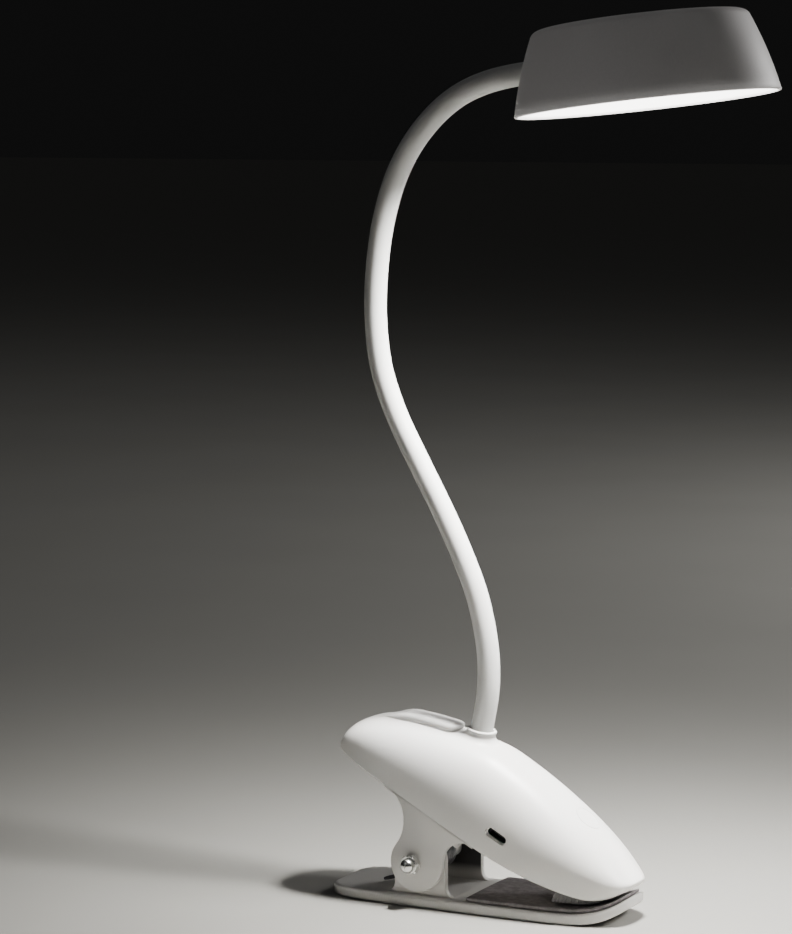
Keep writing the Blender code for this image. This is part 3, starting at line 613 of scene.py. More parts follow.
@dataclass(frozen=True)
class Silicone:
    """Soft matt silicone with faint drawing lines along the tube and a little dust."""

    name: str = "neck_silicone"
    colour: Point = (0.86, 0.86, 0.84)

    def make(self) -> bpy.types.Material:
        """Build the material."""
        paint = Paint(self.name)
        soft = paint.noise(700.0, 3.0, seed=5.0)
        dust = paint.between(paint.noise(380.0, 5.0, seed=9.0), 0.56, 0.74)
        drift = paint.noise(30.0, 2.0, seed=6.3)
        tint = paint.blend(paint.between(drift, 0.3, 0.7), self.colour, tuple(c * 0.975 for c in self.colour))
        tint = paint.blend(dust * 0.22, tint, (0.74, 0.73, 0.70))
        paint.set(
            Base_Color=tint,
            Roughness=0.46 + 0.12 * dust + (soft - 0.5) * 0.1,
            Normal=paint.bump(soft, 0.02 * MM),
            Subsurface_Weight=0.1,
            Subsurface_Scale=0.0015,
            Subsurface_Radius=(1.0, 0.95, 0.9),
            IOR=1.43,
        )
        return paint.material


@dataclass(frozen=True)
class Rubber:
    """Dark grey grip rubber with a mottled, slightly worn skin."""

    name: str = "grey_rubber"
    colour: Point = (0.189, 0.171, 0.176)
    mottle: float = 0.35

    def make(self) -> bpy.types.Material:
        """Build the material."""
        paint = Paint(self.name)
        mottle = paint.noise(420.0, 4.0, seed=1.0)
        worn = paint.between(paint.noise(90.0, 4.0, seed=8.0), 0.5, 0.75)
        pores = paint.noise(2400.0, 2.0, seed=2.0)
        light = tuple(c * (1 + self.mottle) for c in self.colour)
        dark = tuple(c * (1 - self.mottle * 0.4) for c in self.colour)
        tint = paint.blend(paint.between(mottle, 0.35, 0.68), dark, light)
        tint = paint.blend(worn * 0.3, tint, tuple(c * 1.6 for c in self.colour))
        paint.set(
            Base_Color=tint,
            Roughness=0.72 + (mottle - 0.5) * 0.25,
            Normal=paint.bump(mottle * 0.7 + pores * 0.3, 0.12 * MM),
            Specular_IOR_Level=0.35,
        )
        return paint.material


@dataclass(frozen=True)
class Metal:
    """Plated or oiled steel and brass: fine scratches, dulled patches and a dark stain."""

    name: str
    colour: Point
    stain: Point
    roughness: float
    scratch: float = 0.015 * MM

    def make(self) -> bpy.types.Material:
        """Build the material."""
        paint = Paint(self.name)
        patch = paint.noise(500.0, 4.0, seed=3.0)
        fine = paint.noise(1800.0, 3.0, stretch=(1.0, 6.0, 1.0), seed=4.4)
        stain = paint.between(patch, 0.5, 0.74)
        paint.set(
            Base_Color=paint.blend(stain * 0.5, self.colour, self.stain),
            Metallic=1.0,
            Roughness=self.roughness + 0.16 * stain + (fine - 0.5) * 0.12,
            Normal=paint.bump(fine, self.scratch),
        )
        return paint.material


@dataclass(frozen=True)
class Opal:
    """Opal acrylic lit from behind, a touch dimmer towards its edge."""

    name: str
    strength: float
    centre: Point
    axis: Point
    radius: float

    def make(self) -> bpy.types.Material:
        """Build the material."""
        paint = Paint(self.name)
        away = paint.from_axis(self.centre, self.axis)[1]
        edge = paint.between(away, self.radius * 0.72, self.radius)
        cloud = paint.noise(45.0, 2.0, seed=2.5)
        dim = (edge * 0.45 + (cloud - 0.5) * 0.06).clamped()
        paint.set(
            Base_Color=paint.blend(cloud, (0.93, 0.93, 0.91), (0.96, 0.96, 0.95)),
            Roughness=0.32 + cloud * 0.1,
            Emission_Color=paint.blend(dim, (1.0, 0.985, 0.95), (0.55, 0.53, 0.50)),
            Emission_Strength=self.strength,
        )
        return paint.material


@dataclass(frozen=True)
class Board:
    """Green solder mask with copper tracks under it."""

    name: str = "circuit_board"
    colour: Point = (0.03, 0.17, 0.08)

    def make(self) -> bpy.types.Material:
        """Build the material."""
        paint = Paint(self.name)
        tracks = paint.between(paint.noise(260.0, 1.0, stretch=(1, 3, 1)), 0.52, 0.55)
        fine = paint.noise(1200.0, 2.0)
        paint.set(
            Base_Color=paint.blend(tracks, self.colour, (0.07, 0.27, 0.12)),
            Roughness=0.32 + fine * 0.2,
            Normal=paint.bump(tracks * 0.8 + fine * 0.2, 0.03 * MM),
        )
        return paint.material


class Finish(Enum):
    """Every finish of the lamp, by the record's slot it belongs to."""

    WHITE = "white_plastic"
    NECK = "neck_silicone"
    HEAD = "head_plastic"
    OPAL = "opal_diffuser"
    RUBBER = "grey_rubber"
    ZINC = "zinc_steel"
    SPRING = "spring_steel"
    BOARD = "circuit_board"
    CELL = "cell_foil"
    BRASS = "brass"
    # The next two are darker copies of the white plastic, as painted shade.
    LUG_PAINTED_SHADE = "white_plastic_lug_painted_shade"
    EAR_PAINTED_SHADE = "white_plastic_ear_painted_shade"
    INLET = "inlet_black"
    PAD = "soft_grip"

    def slot(self) -> str:
        """The record's slot for this finish."""
        shared = {
            Finish.INLET: Finish.ZINC, Finish.PAD: Finish.RUBBER, Finish.LUG_PAINTED_SHADE: Finish.WHITE,
            Finish.EAR_PAINTED_SHADE: Finish.WHITE
        }
        return shared.get(self, self).value


class Wardrobe:
    """Makes each finish once and dresses pieces in it."""

    def __init__(self, head: "HeadSizes") -> None:
        """Build every finish."""
        centre, axis = tuple(head.centre), tuple(head.axis())
        self.made = {
            Finish.WHITE: MouldedPlastic("white_plastic", (0.83, 0.82, 0.805), 0.40).make(),
            # Painted shade: the lower plate with its lugs and the upper base with its ears get darker copies of
            # the white plastic, for the shade under the clip.
            Finish.LUG_PAINTED_SHADE: MouldedPlastic(
                "white_plastic_lug_painted_shade", (0.66, 0.65, 0.635), 0.40, painted_shade_width=14.55 * MM
            ).make(),
            Finish.EAR_PAINTED_SHADE: MouldedPlastic(
                "white_plastic_ear_painted_shade", (0.68, 0.67, 0.655), 0.40, painted_shade_width=17.55 * MM
            ).make(),
            Finish.NECK: Silicone().make(),
            Finish.HEAD: ShadePlastic(centre=centre, axis=axis).make(),
            Finish.OPAL: Opal("opal_diffuser", 7.0, centre, axis, head.radius).make(),
            Finish.RUBBER: Rubber().make(),
            Finish.ZINC: Metal("zinc_steel", (0.76, 0.76, 0.74), (0.42, 0.40, 0.36), 0.22).make(),
            Finish.SPRING: Metal("spring_steel", (0.20, 0.20, 0.21), (0.06, 0.05, 0.045), 0.34).make(),
            Finish.BOARD: Board().make(),
            Finish.CELL: Metal("cell_foil", (0.74, 0.74, 0.76), (0.5, 0.5, 0.52), 0.38, 0.06 * MM).make(),
            Finish.INLET: MouldedPlastic("inlet_black", (0.018, 0.018, 0.02), 0.35).make(),
            Finish.PAD: Rubber("soft_grip", (0.113, 0.109, 0.111), 0.12).make(),
            Finish.BRASS: Metal("brass", (0.80, 0.60, 0.28), (0.45, 0.30, 0.12), 0.28).make(),
        }

    def dress(self, obj: bpy.types.Object, finish: Finish) -> bpy.types.Object:
        """Give a piece one finish."""
        obj.data.materials.clear()
        obj.data.materials.append(self.made[finish])
        return obj

    def dress_node(self, name: str) -> None:
        """Give a CAD node that stays in view the finish of its own slot."""
        slots = {part["node"]: part["material_slot"] for part in frame["record"]["subparts"]}
        node = frame["nodes"][name]
        made = self.made[Finish(slots[name])]
        if not node.material_slots:
            node.data.materials.append(made)
        for place in node.material_slots:
            place.material = made


# ------------------------------------------------------------------ sizes shared by sub-assemblies


@dataclass
class JawFrame:
    """The upper jaw's own frame: on the hinge axis, with x running down the jaw to its tip."""

    height: float = HINGE_HEIGHT
    slope: float = math.radians(28.5)

    def matrix(self) -> Matrix:
        """From the jaw's frame to the lamp's."""
        return Matrix.Translation((0, 0, self.height)) @ Matrix.Rotation(self.slope, 4, "Y")


@dataclass
class HeadSizes:
    """Where the head is and how large."""

    centre: Vector = field(default_factory=lambda: Vector((86.6 * MM, 0.0, 307.2 * MM)))
    tilt: float = math.radians(6.8)
    radius: float = 49.3 * MM
    inset: float = 9.8 * MM
    height: float = 30.9 * MM
    wall: float = 1.8 * MM
    crown: float = 1.2 * MM
    entry: float = 17.3 * MM

    def axis(self) -> Vector:
        """The head's own upward direction."""
        return Vector((-math.sin(self.tilt), 0.0, math.cos(self.tilt)))

    def matrix(self) -> Matrix:
        """From the head's frame to the lamp's."""
        return Matrix.Translation(self.centre) @ Matrix.Rotation(-self.tilt, 4, "Y")


def bolt_bore(place: Matrix) -> bpy.types.Object:
    """A cutter for the bolt's hole, along y through the origin of the frame it is placed in."""
    ends = [place @ Vector((0, y * MM, 0)) for y in (-25, 25)]
    return sweep("bore", ends, lambda _: BOLT_HOLE, 32)


# ------------------------------------------------------------------ lower jaw


@dataclass
class LowerJaw:
    """The plate the lamp stands on, its hinge lugs and its rubber lining."""

    rear: float = -39.0 * MM
    front: float = 85.0 * MM
    half_width: float = 20.6 * MM
    thickness: float = 4.3 * MM
    tip_start: float = 60.0 * MM
    tip_rise: float = 6.4 * MM
    lug_outer: float = 17.1 * MM
    lug_inner: float = 14.5 * MM
    lug_radius: float = 11.0 * MM
    lug_centre: tuple[float, float] = (1.6 * MM, 17.9 * MM)
    lug_edge: float = 0.45 * MM
    lining: float = 1.4 * MM
    lining_start: float = 22.0 * MM
    lining_inset: float = 1.6 * MM

    def rise(self, x: float, _y: float = 0.0) -> float:
        """Height of the plate's underside at x."""
        run = max(0.0, (x - self.tip_start) / (self.front - self.tip_start))
        return self.tip_rise * run**3

    def outline(self, count: int = 150) -> np.ndarray:
        """Half the plate's plan, evenly spread from the rear end round to the front end."""
        middle, half = (self.rear + self.front) / 2, (self.front - self.rear) / 2
        points = []
        for side, power in ((-1, 5.5), (1, 3.4)):
            quarter = []
            for a in np.linspace(0, math.pi / 2, 400):
                along = math.cos(a) ** (2 / power)
                quarter.append((middle + side * half * along, self.half_width * math.sin(a) ** (2 / power)))
            points += quarter if side < 0 else quarter[::-1]
        return resample(np.array(points), count)

    def lug(self, side: int) -> bpy.types.Object:
        """One inner hinge ear with feet that flare into the plate."""
        foot = self.thickness - 1.6 * MM
        flare, lip = 4.0 * MM, self.thickness
        cx, cz = self.lug_centre
        front, rear = cx + self.lug_radius, cx - self.lug_radius
        outline = [(rear - flare, foot), (front + flare, foot)]
        outline += arc((front + flare, lip + flare), flare, 270, 180, 10)
        outline += arc((cx, cz), self.lug_radius, 0, 180, 40)
        outline += arc((rear - flare, lip + flare), flare, 0, -90, 10)
        low, high = sorted((side * self.lug_inner, side * self.lug_outer))
        return plate("lug", outline, bevelled(low, high, self.lug_edge), Matrix.Identity(4))

    def build_plate(self) -> bpy.types.Object:
        """The white plate with its two lugs."""
        made = slab("lower_jaw_plate", self.outline(), rounded(self.thickness, 1.15 * MM, 5), self.rise)
        cut(made, [self.lug(1), self.lug(-1)], "UNION")
        return cut(made, [bolt_bore(Matrix.Translation((0, 0, HINGE_HEIGHT)))], "DIFFERENCE")

    def build_lining(self) -> bpy.types.Object:
        """The plain rubber lining, which follows the plate up to its tip."""
        start = self.lining_start
        whole = self.outline(260)
        inner = whole - side_normals(whole) * self.lining_inset
        kept = inner[(inner[:, 0] >= start) & (inner[:, 1] > 0)]
        outline = np.vstack(
            [[start, 0.0], [start, kept[0, 1] * 0.5], kept, [self.front - self.lining_inset, 0.0]]
        )
        base = self.thickness + GAP

        def lift(x: float, y: float) -> float:
            """The lining's underside follows the plate."""
            return self.rise(x) + base

        return slab("lower_grip_lining", resample(outline, 150), rounded(self.lining, 0.45 * MM, 3), lift)

    def build(self, wardrobe: Wardrobe) -> None:
        """Build, dress and mount the lower jaw's pieces."""
        made = wardrobe.dress(self.build_plate(), Finish.LUG_PAINTED_SHADE)
        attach(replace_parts(made, "lower_jaw"), "lower_jaw")
        lining = wardrobe.dress(self.build_lining(), Finish.RUBBER)
        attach(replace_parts(lining, "lower_pad"), "lower_jaw")
        LOG.info("lower jaw: %s, %s", made.name, lining.name)


# ------------------------------------------------------------------ hinge


@dataclass
class Hinge:
    """Bolt, dome nut and torsion spring."""

    height: float = HINGE_HEIGHT
    face: float = 20.6 * MM
    bolt: float = 2.0 * MM
    nut_flats: float = 7.0 * MM
    wire: float = 0.8 * MM
    coil: float = 5.5 * MM
    turns: int = 5

    def axis(self) -> Matrix:
        """From a frame whose z runs to the near side to the lamp's frame."""
        return Matrix.Translation((0, 0, self.height)) @ Matrix.Rotation(math.radians(90), 4, "X")

    def build_nut(self) -> bpy.types.Object:
        """A hex nut with chamfered corners and a domed cap."""
        low, high = self.face, self.face + 3.0 * MM
        corner = self.nut_flats / math.sqrt(3)
        rings = []
        for radius, z in ((corner * 0.90, low), (corner * 0.985, low + 0.35 * MM), (corner, low + 0.6 * MM),
                          (corner, high - 0.6 * MM), (corner * 0.985, high - 0.32 * MM), (corner * 0.86, high)):
            ring = []
            for i in range(48):
                a = 0.2 + 2 * math.pi * i / 48
                flat = corner * math.cos(math.pi / 6) / math.cos((a - 0.2) % (math.pi / 3) - math.pi / 6)
                r = min(radius, flat)
                ring.append((r * math.cos(a), r * math.sin(a), z))
            rings.append([self.axis() @ Vector(p) for p in ring])
        nut = loft("dome_nut", rings, sharp=math.radians(24))
        dome = 2.85 * MM
        profile = [(0.0, high - 0.8 * MM), (dome, high - 0.8 * MM), (dome, high + 0.9 * MM)]
        profile += [
            (dome * math.cos(a), high + 0.9 * MM + 2.7 * MM * math.sin(a))
            for a in np.linspace(0.12, math.pi / 2, 10)
        ]
        cut(nut, [lathe("dome", profile, 40, self.axis())], "UNION", math.radians(24))
        drill = [
            (0.0, low - MM), (self.bolt + 0.1 * MM, low - MM), (self.bolt + 0.1 * MM, high + 1.2 * MM),
            (0.0, high + 1.2 * MM)
        ]
        return cut(nut, [lathe("drill", drill, 24, self.axis())], "DIFFERENCE", math.radians(24))

    def build_bolt(self) -> bpy.types.Object:
        """A pan-head bolt with a cross recess on the far side."""
        low, high = -self.face, self.face + 3.6 * MM
        head = 3.7 * MM
        profile = [(0.0, low - 2.6 * MM), (1.6 * MM, low - 2.55 * MM)]
        profile += [
            (head - 1.1 * MM + 1.1 * MM * math.sin(a), low - 1.5 * MM - 1.05 * MM * math.cos(a))
            for a in np.linspace(0.1, math.pi / 2, 7)
        ]
        profile += [
            (head, low - 0.15 * MM), (head - 0.15 * MM, low), (self.bolt, low), (self.bolt, high), (0.0, high)
        ]
        bolt = lathe("hinge_bolt_pan_head", profile, 48, self.axis())
        for quarter in (0, 1):
            turned = self.axis() @ Matrix.Rotation(math.radians(90 * quarter + 20), 4, "Z")
            outline = [
                (-1.7 * MM, low - 3 * MM), (1.7 * MM, low - 3 * MM), (0.8 * MM, low - 1.3 * MM),
                (-0.8 * MM, low - 1.3 * MM)
            ]
            blade = loft(
                "blade", [[turned @ Vector((x, y, z)) for x, z in outline] for y in (-0.4 * MM, 0.4 * MM)]
            )
            cut(bolt, [blade], "DIFFERENCE")
        return bolt

    def build_spring(self) -> bpy.types.Object:
        """The torsion spring, its legs pushing the rear grips apart."""
        steps = 40
        start, total = math.radians(-76), math.radians(98) + 2 * math.pi * self.turns
        span = (2 * self.wire + 0.35 * MM) * total / (2 * math.pi)
        centre = Vector((0, 0, self.height))
        count = round(total / (2 * math.pi) * steps)
        coil = []
        for i in range(count + 1):
            a = start + total * i / count
            coil.append(
                centre + Vector((self.coil * math.cos(a), span * (i / count - 0.5), self.coil * math.sin(a)))
            )

        def leg(root: Vector, heading: float, length: float, rise: float) -> list[Vector]:
            """Points that leave the coil along its tangent."""
            ahead = Vector((math.cos(heading), 0, math.sin(heading)))
            stops = [i / 14 for i in range(1, 15)]
            return [root + ahead * length * t + Vector((0, 0, rise * t * t)) for t in stops]

        lower = leg(coil[0], start - math.pi / 2, 22 * MM, -0.7 * MM)
        upper = leg(coil[-1], start + total + math.pi / 2, 21.3 * MM, 0.0)
        path = list(reversed(lower)) + coil + upper
        return sweep(
            "hinge_torsion_spring", path, lambda t: self.wire * min(1.0, 0.75 + 60 * min(t, 1 - t)), 12
        )

    def build(self, wardrobe: Wardrobe) -> None:
        """Build and dress the hinge's pieces; mount the nut and bolt on the lower jaw."""
        for made, node in ((self.build_nut(), "hinge_nut"), (self.build_bolt(), "hinge_bolt")):
            wardrobe.dress(made, Finish.ZINC)
            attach(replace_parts(made, node), "lower_jaw")
            LOG.info("hinge: %s", made.name)
        spring = wardrobe.dress(self.build_spring(), Finish.SPRING)
        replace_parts(spring, "torsion_spring")
        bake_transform(spring)
        LOG.info("hinge: %s", spring.name)


# ------------------------------------------------------------------ upper jaw


@dataclass
class Collar:
    """Where the neck leaves the clip, in the lamp's frame."""

    top: Vector = field(default_factory=lambda: Vector((19.7 * MM, 0.0, 67.9 * MM)))
    lean: float = math.radians(10.0)
    radius: float = 5.9 * MM
    bore: float = 4.65 * MM

    def matrix(self) -> Matrix:
        """From the collar's frame, on its top face, to the lamp's."""
        return Matrix.Translation(self.top) @ Matrix.Rotation(self.lean, 4, "Y")


@dataclass
class UpperJaw:
    """The smooth cover, the base with its hinge ears, the grip pad and the collar."""

    jaw: JawFrame
    collar: Collar
    rear: float = -53.2 * MM
    front: float = 76.5 * MM
    half_width: float = 21.0 * MM
    body_height: float = 32.6 * MM
    low: float = 20.4 * MM
    wall: float = 2.0 * MM
    belly_start: float = 13.0 * MM
    belly_curve: float = 2.65
    heel_start: float = -15.0 * MM
    heel_drop: float = 1.1 * MM
    nose_start: float = 60.0 * MM
    nose_rise: float = 6.3 * MM
    crown_peak: float = 8.0 * MM
    crown_slope: float = 0.235
    crown_ease: float = 6.0 * MM
    crown_curve: float = 2.5
    rear_powers: tuple[float, float] = (4.2, 3.2)
    front_powers: tuple[float, float] = (3.4, 6.5)
    section_power: float = 2.55
    side_wall: float = 5.0 * MM
    base_top: float = 1.0 * MM
    base_depth: float = 1.2 * MM
    ear_outer: float = 20.3 * MM
    ear_inner: float = 17.5 * MM
    ear_radius: float = 11.1 * MM
    ear_centre: tuple[float, float] = (1.13 * MM, 0.84 * MM)
    ear_edge: float = 0.6 * MM
    fillets: tuple[float, float] = (15.0 * MM, 9.0 * MM)
    usb: tuple[float, float] = (24.4 * MM, 29.9 * MM)
    touch: float = 47.0 * MM
    rest: tuple[float, float, float] = (-48.0 * MM, -14.3 * MM, 4.0 * MM)
    rest_half: float = 6.0 * MM

    def span(self, inset: float) -> tuple[float, float]:
        """Middle and half length of the jaw at an inset."""
        return (self.rear + self.front) / 2, (self.front - self.rear) / 2 - inset

    def belly(self, u: float) -> float:
        """Height of the jaw's lower edge at u."""
        run = max(0.0, u - self.belly_start)
        nose = max(0.0, (u - self.nose_start) / (self.front - self.nose_start))
        heel = max(0.0, (self.heel_start - u) / (self.heel_start - self.rear))
        return self.low + self.belly_curve * run * run + self.nose_rise * nose**3 - self.heel_drop * heel**2

    def plan_end(self, u: float, inset: float) -> tuple[float, float]:
        """Shares of full width and of full height left at u, from 1 in the middle to 0 at each end."""
        middle, half = self.span(inset)
        along = min(1.0, abs(u - middle) / half)
        plan, top = self.rear_powers if u < middle else self.front_powers
        return (1 - along**plan) ** (1 / plan), (1 - along**top) ** (1 / top)

    def crown(self, u: float) -> float:
        """Height of the crown line before the ends close it."""
        ahead = u - self.crown_peak
        if ahead > 0:
            return self.low + self.body_height - self.crown_curve * ahead**2
        fall = math.hypot(ahead, self.crown_ease) - self.crown_ease
        return self.low + self.body_height - self.crown_slope * fall

    def section(self, u: float, inset: float, count: int) -> np.ndarray:
        """Points (y, w) over the jaw at u, from its near lower edge over the crown to the far one."""
        wide, tall = self.plan_end(u, inset)
        width, low = (self.half_width - inset) * wide, self.belly(u)
        height = (self.crown(u) - inset - low) * tall
        wall = min(self.side_wall, height * 0.3)
        edge = min(0.5 * MM, wall * 0.5) if not inset else 0.0
        ring = [(width, low)]
        if edge:
            ring = [(width - edge, low), (width - edge * 0.3, low + edge * 0.3), (width, low + edge)]
        for a in np.linspace(0, math.pi, 241):
            c, s = math.cos(a), max(0.0, math.sin(a))
            y = width * math.copysign(abs(c) ** (2 / self.section_power), c)
            ring.append((y, low + wall + (height - wall) * s ** (2 / self.section_power)))
        ring += [(-y, w) for y, w in reversed(ring[:3 if edge else 1])]
        return resample(np.array(ring), count)

    def stations(self, inset: float, count: int) -> np.ndarray:
        """Places along the jaw, closer together where its ends round off."""
        middle, half = self.span(inset)
        found = []
        for side, powers in ((-1, self.rear_powers), (1, self.front_powers)):
            quarter = []
            for a in np.linspace(0.012, math.pi / 2, 600):
                along = math.cos(a) ** (2 / powers[0])
                quarter.append((middle + side * half * along, self.half_width * math.sin(a) ** (2 / powers[0])))
            quarter = resample(np.array(quarter), count // 2)[:, 0]
            found += list(quarter if side < 0 else quarter[::-1][1:])
        return np.array(found)

    def rest_width(self, u: float) -> float:
        """Half the thumb rest's width at u."""
        rear, front, blunt = self.rest
        t = (u - rear) / (front - rear)
        nose = min(1.0, max(0.0, (u - (front - blunt)) / blunt))
        return self.rest_half * (1 - nose**2.4) ** (1 / 2.4) * min(1.0, 0.55 + 1.4 * t)

    def build_thumb_rest(self) -> bpy.types.Object:
        """The raised thumb rest: flush at the rear, standing proud where it ends behind the neck."""
        rear, front, blunt = self.rest
        place = self.jaw.matrix()
        flat = list(np.linspace(rear, front - blunt, 60))
        tip = [front - blunt + blunt * math.sin(a) for a in np.linspace(0.06, math.pi / 2 - 0.03, 18)]
        rings = []
        for u in flat + tip:
            t = (u - rear) / (front - rear)
            nose = max(0.0, (u - (front - blunt)) / blunt)
            width = self.rest_width(u)
            centre = self.skin(u, 0.0)
            top = centre + 3.2 * MM * smooth(t / 0.4) - 0.6 * MM - 0.9 * MM * nose**3
            soft = min(1.7 * MM, width * 0.6)
            ring = [(width, centre - 5 * MM), (width, centre - 3 * MM)]
            ring += [
                (width - soft + soft * math.cos(a), top - soft + soft * math.sin(a))
                for a in np.linspace(0, math.pi / 2, 9)
            ]
            ring += [
                ((width - soft) * (1 - k / 6), top + 0.25 * MM * math.sin(k / 6 * math.pi / 2))
                for k in range(1, 7)
            ]
            ring += [(-y, w) for y, w in reversed(ring[:-1])]
            rings.append([place @ Vector((u, y, w)) for y, w in ring])
        return loft("thumb_rest", rings)

    def build_rest_groove(self) -> bpy.types.Object:
        """The fine channel that runs along the thumb rest's foot on both sides and round its nose."""
        rear, front, blunt = self.rest
        place = self.jaw.matrix()
        reach = [rear + 3 * MM + (front - blunt - rear - 3 * MM) * i / 40 for i in range(41)]
        reach += [front - blunt + blunt * math.sin(a) for a in np.linspace(0.1, math.pi / 2, 14)]
        half = []
        for u in reach:
            y = -self.rest_width(u) - 0.05 * MM
            half.append((u, y))
        whole = resample(np.array(half + [(u, -y) for u, y in reversed(half)]), 150)
        path = [place @ Vector((u, y, self.skin(u, y) + 0.05 * MM)) for u, y in whole]
        return sweep("rest_groove", path, lambda t: 0.7 * MM * min(1.0, 0.3 + 5 * min(t, 1 - t)), 10)

    def build_body(self, name: str, inset: float, stations: int, count: int, floor: float) -> bpy.types.Object:
        """A closed body over the jaw's plan.

        Args:
            name: The body's name.
            inset: How far it lies inside the outer skin.
            stations: Sections along the jaw.
            count: Points over each section.
            floor: Drop of its flat underside below the lower edge.

        Returns:
            The body, in the lamp's frame.
        """
        place = self.jaw.matrix()
        rings = []
        for u in self.stations(inset, stations):
            ring = []
            section = self.section(u, inset, count)
            for y, w in section:
                ring.append(place @ Vector((u, y, w)))
            if floor:
                low = self.belly(u) - floor
                ring += [place @ Vector((u, section[-1][0], low)), place @ Vector((u, section[0][0], low))]
            rings.append(ring)
        return loft(name, rings)

    def skin(self, u: float, y: float) -> float:
        """Height of the outer skin above (u, y)."""
        section = self.section(u, 0.0, 400)
        return float(np.interp(-y, -section[:, 0], section[:, 1]))

    def usb_outline(self, half_length: float, half_height: float) -> list[tuple[float, float]]:
        """A slot with round ends about the inlet's centre."""
        u, w = self.usb
        run = half_length - half_height
        return arc((u + run, w), half_height, -90, 90, 12) + arc((u - run, w), half_height, 90, 270, 12)

    def build_boss(self) -> bpy.types.Object:
        """The short turret round the neck, its foot faired into the skin."""
        place, back = self.collar.matrix(), self.jaw.matrix().inverted()
        sides, steps = 72, 10
        foot, depth = 8.6 * MM, -14 * MM
        top, lip = self.collar.radius - 0.25 * MM, -0.9 * MM
        rings = [[], []]
        rows: list[list[Vector]] = [[] for _ in range(steps + 1)]
        for a in turn(sides):
            ahead = Vector((math.cos(a), math.sin(a), 0))

            def drop(r: float) -> float:
                """Height of the skin along this ray, in the collar's frame."""
                z = -3.0 * MM
                for _ in range(14):
                    p = back @ (place @ (ahead * r + Vector((0, 0, z))))
                    z += (self.skin(p.x, p.y) - p.z) * 0.85
                return z

            corner, end = drop(top + 0.3 * MM), drop(foot) - 0.12 * MM
            start = Vector((top, lip - 0.5 * MM))
            knee = Vector((top + 0.3 * MM, min(corner, lip - 0.7 * MM)))
            for i in range(steps + 1):
                t = i / steps
                p = start * (1 - t) ** 2 + knee * 2 * t * (1 - t) + Vector((foot, end)) * t * t
                rows[i].append(place @ (ahead * p.x + Vector((0, 0, p.y))))
            rings[0].append(place @ (ahead * (top - 0.35 * MM) + Vector((0, 0, lip))))
            rings[1].append(place @ (ahead * (top - 0.1 * MM) + Vector((0, 0, lip - 0.12 * MM))))
        deep = [[place @ Vector((foot * math.cos(a), foot * math.sin(a), depth)) for a in turn(sides)]]
        return loft("boss", rings + rows + deep)

    def build_cover(self) -> bpy.types.Object:
        """The moulded cover, hollow, with the neck's hole and the inlet's slot."""
        place = self.jaw.matrix()
        cover = self.build_body("upper_cover_shell", 0.0, 190, 132, 0.0)
        cut(cover, [self.build_thumb_rest(), self.build_boss()], "UNION")
        hollow = self.build_body("hollow", self.wall, 60, 40, 8 * MM)
        hole, room, seat = self.collar.bore, self.collar.radius - 0.55 * MM, -1.7 * MM
        bore = [(0, -30 * MM), (hole, -30 * MM), (hole, seat), (room, seat), (room, 9 * MM), (0, 9 * MM)]
        slot = plate("slot", self.usb_outline(4.3 * MM, 1.5 * MM), [(0, -24 * MM), (0, -16 * MM)], place)
        rim = plate(
            "rim", self.usb_outline(4.65 * MM, 1.85 * MM),
            [(0, -24 * MM), (0, -20.15 * MM), (0.35 * MM, -19.8 * MM)], place
        )
        neck_hole = lathe("neck_hole", bore, 72, self.collar.matrix())
        return cut(cover, [hollow, neck_hole, self.build_rest_groove(), slot, rim], "DIFFERENCE")

    def ear_outline(self, top: float) -> list[tuple[float, float]]:
        """The hinge ear: round about the bolt, with a concave fillet up to the jaw on each side."""
        cx, cz = self.ear_centre

        def centre(radius: float, side: int) -> tuple[float, float]:
            """Centre of the fillet on one side."""
            drop = top - radius - cz
            return cx + side * math.sqrt((self.ear_radius + radius) ** 2 - drop**2), top - radius

        rear, front = centre(self.fillets[0], -1), centre(self.fillets[1], 1)
        rear_angle = math.degrees(math.atan2(cz - rear[1], cx - rear[0]))
        front_angle = math.degrees(math.atan2(cz - front[1], cx - front[0])) + 360
        outline = arc(rear, self.fillets[0], 90, rear_angle, 26)
        outline += arc(self.ear_centre, self.ear_radius, rear_angle + 180, front_angle + 180, 56)[1:-1]
        outline += arc(front, self.fillets[1], front_angle, 90, 22)
        return outline

    def plan(self, inset: float, count: int) -> np.ndarray:
        """Half the jaw's plan at an inset, from its rear end round to its front end."""
        points = []
        for u in self.stations(inset, count):
            points.append((u, (self.half_width - inset) * self.plan_end(u, inset)[0]))
        points[0], points[-1] = (points[0][0], 0.0), (points[-1][0], 0.0)
        return resample(np.array(points), count)

    def build_base(self) -> bpy.types.Object:
        """The plate that closes the cover from below, with its hinge ears."""
        place = self.jaw.matrix()
        thickness = self.base_top + self.base_depth
        base = slab("upper_base_plate", self.plan(self.wall + GAP, 150), rounded(thickness, 0.5 * MM, 3),
                    lambda u, y: self.belly(u) - self.base_depth)
        base.data.transform(place)
        tools = []
        rear, front, bottom, top = (v * MM for v in (-10, 12, 15.2, 21.0))
        corners = [(rear, bottom), (front, bottom), (front, top), (rear, top)]
        for side in (1, -1):
            low, high = sorted((side * self.ear_inner, side * self.ear_outer))
            layers = bevelled(low, high, self.ear_edge)
            tools.append(plate("ear", self.ear_outline(self.low - 0.2 * MM), layers, place))
            low, high = sorted((side * 15.2 * MM, side * 18.4 * MM))
            tools.append(plate("gusset", corners, [(0, low), (0, high)], place))
        cut(base, tools, "UNION")
        return cut(base, [bolt_bore(place)], "DIFFERENCE")

